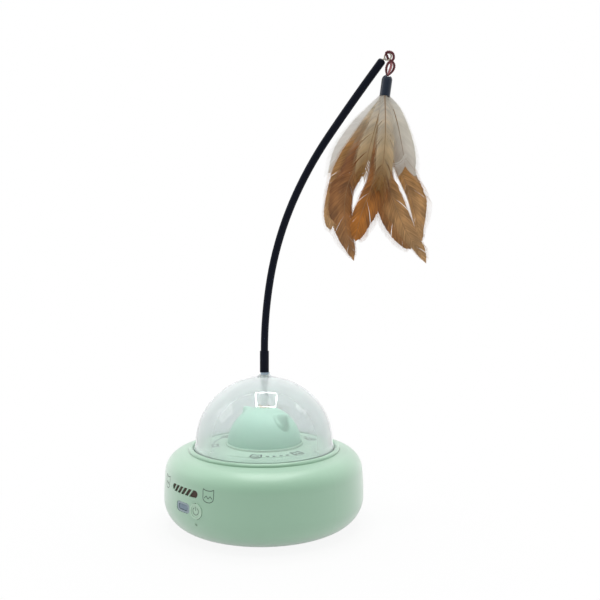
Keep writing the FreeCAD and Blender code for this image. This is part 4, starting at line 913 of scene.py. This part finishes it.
def grow_vane(feather, way, widths, habit, chance):
    """All barbs on one side of the quill, the left for way -1 and the right for way 1"""
    widths = smooth_line([[w] for w in widths], SPINE_COUNT)[:, 0].clip(0.05)
    pitch = habit["pitch"]
    count = int(feather.length * (1 - VANE_FROM) / pitch)
    shares = [VANE_FROM + (1 - VANE_FROM) * k / count for k in range(count + 1)]
    start = 0
    while start < count:
        loose = shares[start] >= habit["loose"]
        size = 1 if loose else max(3, int(chance.gauss(habit["clump"], habit["clump"] * 0.5)))
        clump = shares[start:start + size + 1]
        start += size
        tilt = math.radians(chance.gauss(0, LOOSE_TILT if loose else habit["ruffle"]))
        lift = chance.gauss(0, LOOSE_LIFT if loose else CLUMP_LIFT)
        reach = 1 + chance.gauss(0, LOOSE_REACH if loose else CLUMP_REACH)
        lines, grains = [], []
        for k, share in enumerate(clump[:1] if loose else clump):
            i = min(int(share * (SPINE_COUNT - 1)), SPINE_COUNT - 2)
            wide = widths[i] * reach * (1 + BARB_UNEVEN * chance.gauss(0, 1))
            wide *= math.sqrt(min(1, (TIP_END - share) * TIP_BLUNT))
            off_middle = (k - (len(clump) - 1) / 2) * pitch * (0 if loose else 1)
            line, long = grow_barb(feather, share, way, wide, tilt, lift, off_middle, habit)
            lines.append(line)
            grains.append([(share * feather.length, long * t, share) for t in BARB_SHARES])
            half, full, first = (LOOSE_HAIR, 2, 0) if loose else (pitch * CLUMP_HAIR, 3, BARB_STEPS - 1)
            edges = [feather.ahead[i] * half * (1 - n / (len(line) + 1)) * full for n in range(len(line))]
            feather.strip([[p - edge, p + edge] for p, edge in zip(line[first:], edges[first:])],
                          [[g, g] for g in grains[-1][first:]], VANE)
        if not loose and len(lines) > 1:
            feather.strip([line[:BARB_STEPS + 1] for line in lines],
                          [g[:BARB_STEPS + 1] for g in grains], VANE)


grow_vane(straight, 1, [5, 5], {**flat, "pitch": 1, "clump": 9, "loose": 2, "ruffle": 0}, random.Random(1))
print("100 mm of a coarse vane has", len(straight.faces), "faces")

# %% [markdown]
# A feather is keratin, as hair is. Its vane is satin, and thin enough for light to come through. Its
# colour is laid down barb by barb, so it runs in fine streaks along the barbs, drawn twice as wide as the
# real 0.4 mm so that they show. The hackles go from cream near the cap, where they were down, to tan and
# brown.

# %% Feather vane
VANE_IOR = 1.55
STREAK_WIDE, STREAK_LONG = 0.9, 12
PATCH_WIDE, PATCH_LONG = 9, 11
STREAK_DARK, PATCH_DARK, BRIGHTER = 0.38, 0.45, 0.2
STREAK_SHIFT = 0.12


def feather_vane(name, root, middle, end, shows_through=0.3, cream_to=0.38, contrast=1.0):
    made, tree, shader = new_material(name)
    grain = add(tree, "Attribute", attribute_name="barb").outputs["Vector"]
    share = add(tree, "SeparateXYZ", {"Vector": grain}).outputs["Z"]
    scaled = [add(tree, "VectorMath", {0: grain, 1: (1 / wide, 1 / long, 0)}, operation="MULTIPLY").outputs[0]
              for wide, long in ((STREAK_WIDE, STREAK_LONG), (PATCH_WIDE, PATCH_LONG))]
    streak, patch = (add(tree, "TexNoise", {"Vector": place, "Scale": 1.0, "Detail": detail}).outputs["Fac"]
                     for place, detail in zip(scaled, (3, 2)))
    uneven, fine = (add(tree, "MapRange", {"Value": noise, "From Min": 0.3, "From Max": 0.7,
                                           "To Min": 1 - dark * contrast,
                                           "To Max": 1 + BRIGHTER * contrast})
                    for noise, dark in ((patch, PATCH_DARK), (streak, STREAK_DARK)))
    shift = add(tree, "MapRange", {"Value": streak, "To Min": -STREAK_SHIFT, "To Max": STREAK_SHIFT})
    place = add(tree, "Math", {0: share, 1: shift.outputs[0]}, operation="ADD")
    ramp = add(tree, "ValToRGB", {"Fac": place.outputs[0]})
    for stop, at, colour in zip(ramp.color_ramp.elements, (0.1, 0.9), (root, end)):
        stop.position, stop.color = at, linear(colour)
    ramp.color_ramp.elements.new(cream_to).color = linear(middle)
    both = add(tree, "Math", {0: uneven.outputs[0], 1: fine.outputs[0]}, operation="MULTIPLY")
    shade = add(tree, "VectorMath", {0: ramp.outputs["Color"], "Scale": both.outputs[0]}, operation="SCALE")
    relief = add(tree, "Bump", {"Height": streak, "Strength": 0.6, "Distance": 0.1 * MM})
    fill(tree, shader, {"Base Color": shade.outputs[0], "Roughness": 0.55, "IOR": VANE_IOR,
                        "Normal": relief.outputs["Normal"]})
    through = add(tree, "BsdfTranslucent", {"Color": shade.outputs[0], "Normal": relief.outputs["Normal"]})
    mixed = add(tree, "MixShader", {0: shows_through, 1: shader.outputs[0], 2: through.outputs[0]})
    fill(tree, tree.nodes["Material Output"], {"Surface": mixed.outputs[0]})
    return made


vane_finish = {
    "tan": feather_vane("tan_hackle", "e8dabf", "bb8648", "cb9f6c", 0.24),
    "brown": feather_vane("brown_hackle", "e0cba4", "9c6230", "b58350", 0.24, 0.34),
    "orange": feather_vane("orange_hackle", "dcc59a", "9c652f", "c47a28", 0.26),
    "cream": feather_vane("cream_down", "e8e4da", "e0dacb", "dcd7cc", 0.3, contrast=0.3),
    "beige": feather_vane("beige_down", "f0e9da", "dcc49a", "ab7f42", 0.3, 0.5, 0.6),
    "pale": feather_vane("pale_down", "f0eee9", "ebe8e2", "eae7e0", 0.5, contrast=0.2),
}
quill_keratin = small_plastic("quill_keratin", "a07a50", 0.4, 2 * MM, VANE_IOR)
print("vanes:", ", ".join(vane_finish))

# %% [markdown]
# A whole feather is its two vanes and its quill, a six-sided tube that thins towards the tip.

# %% Grow a whole feather
QUILL_SIDES, QUILL_END = 6, 0.04
QUILL_FLAT = 0.8


def grow_feather(name, points, left, right, tone, seed, cup=0.22, twist=0.0, pitch=0.45, clump=24,
                 loose=2.0, ruffle=0.6, node=None, quill=0.27):
    """One feather: quill points and the widths of its left and right vane, in mm"""
    feather, chance = Feather(points), random.Random(seed)
    habit = {"cup": cup, "twist": twist, "pitch": pitch, "clump": clump, "loose": loose, "ruffle": ruffle}
    for way, widths in ((-1, left), (1, right)):
        grow_vane(feather, way, widths, habit, chance)
    turns = [2 * math.pi * k / QUILL_SIDES for k in range(QUILL_SIDES)]
    rings, grains = [], []
    for i in range(0, SPINE_COUNT, 4):
        radius = quill * (1 - i / SPINE_COUNT) ** 0.8 + QUILL_END
        facing, side = feather.facing[i], np.cross(feather.ahead[i], feather.facing[i])
        rings.append([feather.spine[i] + (facing * math.cos(a) * QUILL_FLAT + side * math.sin(a)) * radius
                      for a in turns])
        grains.append([(i / SPINE_COUNT * feather.length, 0, i / SPINE_COUNT)] * QUILL_SIDES)
    feather.strip(rings, grains, QUILL, closed=True)
    made = new_piece(name, feather.vertices, feather.faces, vane_finish[tone], quill_keratin, smooth=True)
    made.data.polygons.foreach_set("material_index", feather.kinds)
    give_grain(made, feather.grain)
    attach(made, "teaser")
    if node:
        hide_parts(node)


# %% [markdown]
# The ten feathers, from the rearmost to the foremost, each with its quill's path and the widths of its two
# vanes at even steps from the root to the tip. A small curled wisp lies on the right-hand cream feather.

# %% The ten feathers
grow_feather("cream_one_plume", [(0, -2, -2), (-7, 8, -3.5), (-14.5, 18, -6), (-22, 30, -9), (-28, 43, -11)],
             [4, 8, 9, 9, 7, 6], [2, 6, 8, 9, 8, 6], "pale", 11, loose=0.96, twist=22, clump=60,
             node="cream_feather_one")
grow_feather("tan_one_plume", [(0, -2, -1.6), (2, 14, -3.5), (4.5, 28, -6), (8.5, 40, -8), (12.5, 49.5, -9),
                               (15.7, 57, -10), (18.4, 66.5, -11.5), (20.5, 77, -12), (22.3, 85, -12)],
             [0.5, 5, 10, 12.5, 11, 6, 2], [0.5, 3.5, 4, 4.4, 4, 3, 1.5], "tan", 12, twist=-18,
             node="tan_feather_one")
grow_feather("cream_two_plume", [(0, -2, -1.2), (4.5, 6, -1.5), (7.5, 15, -2), (9.8, 25, -3), (11.5, 34, -4),
                                 (12.5, 41, -5)],
             [2, 7, 10, 11.5, 10, 7], [9, 11, 10.5, 10, 8.5, 6.5], "cream", 13, loose=0.98, twist=-8,
             clump=90, node="cream_feather_two")
grow_feather("tan_two_plume", [(0, -2, -0.7), (-0.5, 16, -1.5), (-1.5, 32, -2.5), (-1, 46, -3),
                               (1, 58, -3.5), (5, 70, -4.5), (10.5, 81, -6), (16.5, 90, -7)],
             [0.5, 7, 10, 12, 10, 6, 1], [0.5, 6, 8, 9.5, 10, 7, 1], "brown", 14, twist=24,
             node="tan_feather_two")
grow_feather("tan_three_plume", [(0, -2, -0.3), (-6.5, 10, -0.5), (-13, 22, -1), (-20, 34.5, -1.5),
                                 (-26.5, 48, -2), (-30.8, 60, -1), (-32, 69, 1.5), (-30.5, 76.5, 4)],
             [0.5, 4, 6, 6, 5.4, 4.4, 4], [0.5, 5, 7.5, 8.5, 6.5, 5, 5], "tan", 15, twist=10,
             node="tan_feather_three")
grow_feather("tan_four_plume", [(0, -2, 0.2), (-4.5, 10, 0.5), (-8.7, 19.5, 1), (-12.5, 30, 2),
                                (-16.5, 41, 3), (-20.8, 50, 3.6), (-23, 59, 4), (-23.4, 69, 4),
                                (-22, 81, 3.6), (-17.8, 97, 2)],
             [0.5, 4, 6.5, 8, 7.4, 5.4, 0.8], [0.5, 6, 10, 12.5, 10.5, 6, 0.8], "brown", 16, twist=-3,
             node="tan_feather_four")
grow_feather("tan_five_plume", [(0, -2, 0.7), (-1.5, 14, 1.5), (-2.3, 28, 2.5), (-1.2, 41, 3.5),
                                (1, 48.5, 4.3), (3.7, 56, 5), (7.9, 67, 6), (13.6, 79.5, 7.5),
                                (19.4, 88.5, 8.5), (25.8, 98.5, 9)],
             [0.5, 4.5, 7, 9.5, 10, 7, 0.8], [0.5, 5.5, 9, 11.5, 7.6, 4.2, 0.8], "tan", 17, twist=6, cup=0.14,
             node="tan_feather_five")
grow_feather("cream_three_plume", [(0, -2, 1.2), (-3, 9, 2.2), (-6, 20, 3.8), (-9.5, 33, 6), (-12.5, 47, 8)],
             [11, 9, 7, 6.5, 6, 4], [3, 5.5, 8, 8.5, 8, 5], "beige", 18, loose=0.74, pitch=0.28, twist=-10,
             clump=16, ruffle=3, node="cream_feather_three")
grow_feather("tan_six_plume", [(0, -2, 1.6), (-1.5, 12, 3), (-2.7, 24, 5), (-3.8, 36, 7.5), (-5.5, 47, 9.5),
                               (-8.7, 56.5, 11), (-12.8, 67.5, 12.5), (-15.4, 77, 13.5), (-16.8, 85.5, 14)],
             [0.5, 6, 10.5, 14, 12.5, 8, 1], [0.5, 3.5, 5, 6, 6.6, 6.4, 0.8], "orange", 19, twist=3,
             node="tan_feather_six")
grow_feather("cream_four_plume", [(0, -2, 2.1), (0.5, 14, 4.2), (0.3, 28, 7), (-1, 42, 10), (-3.2, 55, 12.5)],
             [3, 6, 8.5, 9, 7, 4], [3, 5.5, 7, 6.5, 5.5, 3], "beige", 20, loose=0.7, pitch=0.26, twist=8,
             clump=14, ruffle=3, node="cream_feather_four")
grow_feather("cream_curl_plume", [(3, 18, 1), (1.6, 28, 2), (1.6, 35, 3), (3.5, 39, 3.5), (7, 40, 3.5),
                                  (10.6, 38, 3), (12.7, 34, 2)],
             [0.5, 1.5, 2, 2.2, 1.5, 0.5], [0.5, 1.5, 2.2, 2.6, 2, 0.5], "pale", 21, loose=0.0, pitch=0.2,
             quill=0.12)

# %% [markdown]
# The photograph was taken in a light box: white walls at the sides and behind, an open front where the
# camera stands, and a frame of four strip lights in the ceiling, which the dome mirrors as a thin bright
# rectangle. The world stands for the walls. It is white behind and above, and darker on the camera's
# side, which is what models the round housing. Rays that only look at the background see pure white.

# %% The walls of the light box
WALL_LIGHT = (0.26, 0.95)
WALL_MIRRORED = (0.25, 1.0)
WALL_SIDES = (-0.7, 0.5)
BACK_SHARE, TOP_SHARE = 0.8, 0.6


def any_ray(tree, *kinds):
    """1 for rays of one of these kinds, and 0 for all others"""
    ray = add(tree, "LightPath")
    found = ray.outputs[kinds[0]]
    for kind in kinds[1:]:
        found = add(tree, "Math", {0: found, 1: ray.outputs[kind]}, operation="MAXIMUM").outputs[0]
    return found


world = bpy.data.worlds.new("light_box")
bpy.context.scene.world = world
world.use_nodes = True
sky = world.node_tree
sky.nodes.clear()
way = add(sky, "TexCoord").outputs["Generated"]
backness = add(sky, "VectorMath", {0: way, 1: level_ahead * BACK_SHARE + UP * TOP_SHARE},
               operation="DOT_PRODUCT").outputs["Value"]
walls, mirrored = (add(sky, "MapRange", {"Value": backness, "From Min": WALL_SIDES[0],
                                         "From Max": WALL_SIDES[1], "To Min": front, "To Max": back})
                   for front, back in (WALL_LIGHT, WALL_MIRRORED))
shine = add(sky, "Mix", {"Factor": any_ray(sky, "Is Glossy Ray"), 2: walls.outputs[0],
                         3: mirrored.outputs[0]})
strength = add(sky, "Mix", {"Factor": any_ray(sky, "Is Camera Ray", "Is Transmission Ray"),
                            2: shine.outputs[0], 3: 1.0})
light = add(sky, "Background", {"Color": (1, 1, 1, 1), "Strength": strength.outputs[0]})
add(sky, "OutputWorld", {"Surface": light.outputs[0]})
print("walls lit from", WALL_LIGHT[0], "in front to", WALL_LIGHT[1], "behind")

# %% [markdown]
# The floor is white paper. Only a faint shadow shows under the toy, so near the toy a tenth of what the
# camera sees is the lit paper and the rest is plain white, and further off it is all plain white.

# %% Paper floor
FLOOR_HALF = 3.0
PAPER_SHOWS = 0.1
SHADOW_NEAR, SHADOW_FAR = 0.09, 0.2

paper, tree, shader = new_material("white_paper")
fill(tree, shader, {"Base Color": linear("dcdcdc"), "Roughness": 0.9})
glow = add(tree, "Emission", {"Color": (1, 1, 1, 1), "Strength": 1.0})
place = add(tree, "TexCoord").outputs["Object"]
away = add(tree, "VectorMath", {0: place}, operation="LENGTH")
plain = add(tree, "MapRange", {"Value": away.outputs["Value"], "From Min": SHADOW_NEAR,
                               "From Max": SHADOW_FAR, "To Min": 1 - PAPER_SHOWS, "To Max": 1.0})
looks = any_ray(tree, "Is Camera Ray", "Is Transmission Ray", "Is Glossy Ray")
share = add(tree, "Math", {0: looks, 1: plain.outputs[0]}, operation="MULTIPLY")
blend = add(tree, "MixShader", {0: share.outputs[0], 1: shader.outputs[0], 2: glow.outputs[0]})
fill(tree, tree.nodes["Material Output"], {"Surface": blend.outputs[0]})
corners = [(x * FLOOR_HALF, y * FLOOR_HALF, 0) for x, y in ((-1, -1), (1, -1), (1, 1), (-1, 1))]
floor = new_piece("floor", corners, [(0, 1, 2, 3)], paper)

# %% [markdown]
# The four ceiling strips hang about a metre above the dome. Narrow and bright, they draw the soft
# highlight along the shoulder. Two dim panels stand for the box's side walls, which show as pale patches
# on the dome.

# %% Lamps
STRIP_HIGH, STRIP_WIDE, STRIP_WATTS = 1.1, 0.01, 1.7
STRIPS = {"left": ((-0.19, 0.04), 0.5, 0), "right": ((0.28, 0.04), 0.5, 0),
          "back": ((0.045, 0.31), 0.44, 90), "front": ((0.045, -0.24), 0.44, 90)}
SIDE_WALLS = {"left": ((-0.8, 0.15, 0.62), (0.5, 0.4), 0.5), "right": ((0.8, 0.18, 0.72), (0.16, 0.3), 0.15)}


def soft_lamp(name, size, watts, place):
    lamp = bpy.data.lights.new(name, "AREA")
    lamp.shape = "RECTANGLE"
    lamp.size, lamp.size_y = size
    lamp.energy = watts
    made = bpy.data.objects.new(name, lamp)
    bpy.context.scene.collection.objects.link(made)
    made.location = place
    print(name, watts, "W at", [round(x, 2) for x in made.location])
    return made


for name, ((right, back), long, quarter) in STRIPS.items():
    strip = soft_lamp("strip_" + name, (STRIP_WIDE, long), STRIP_WATTS,
                      level_right * right + level_ahead * back + UP * STRIP_HIGH)
    strip.rotation_euler = (0, 0, math.radians(CAMERA_FROM + quarter))
toy_middle = Vector((0, 0, 0.08))
for name, ((right, back, high), size, watts) in SIDE_WALLS.items():
    place = toy_middle + level_right * right + level_ahead * back + UP * high
    wall = soft_lamp("wall_" + name, size, watts, place)
    wall.rotation_euler = (toy_middle - place).to_track_quat("-Z", "Y").to_euler()

# %% [markdown]
# Colours are to come out as they are written, so the picture goes through the Standard view, which leaves
# them alone.

# %% Picture settings
bpy.context.scene.view_settings.view_transform = "Standard"
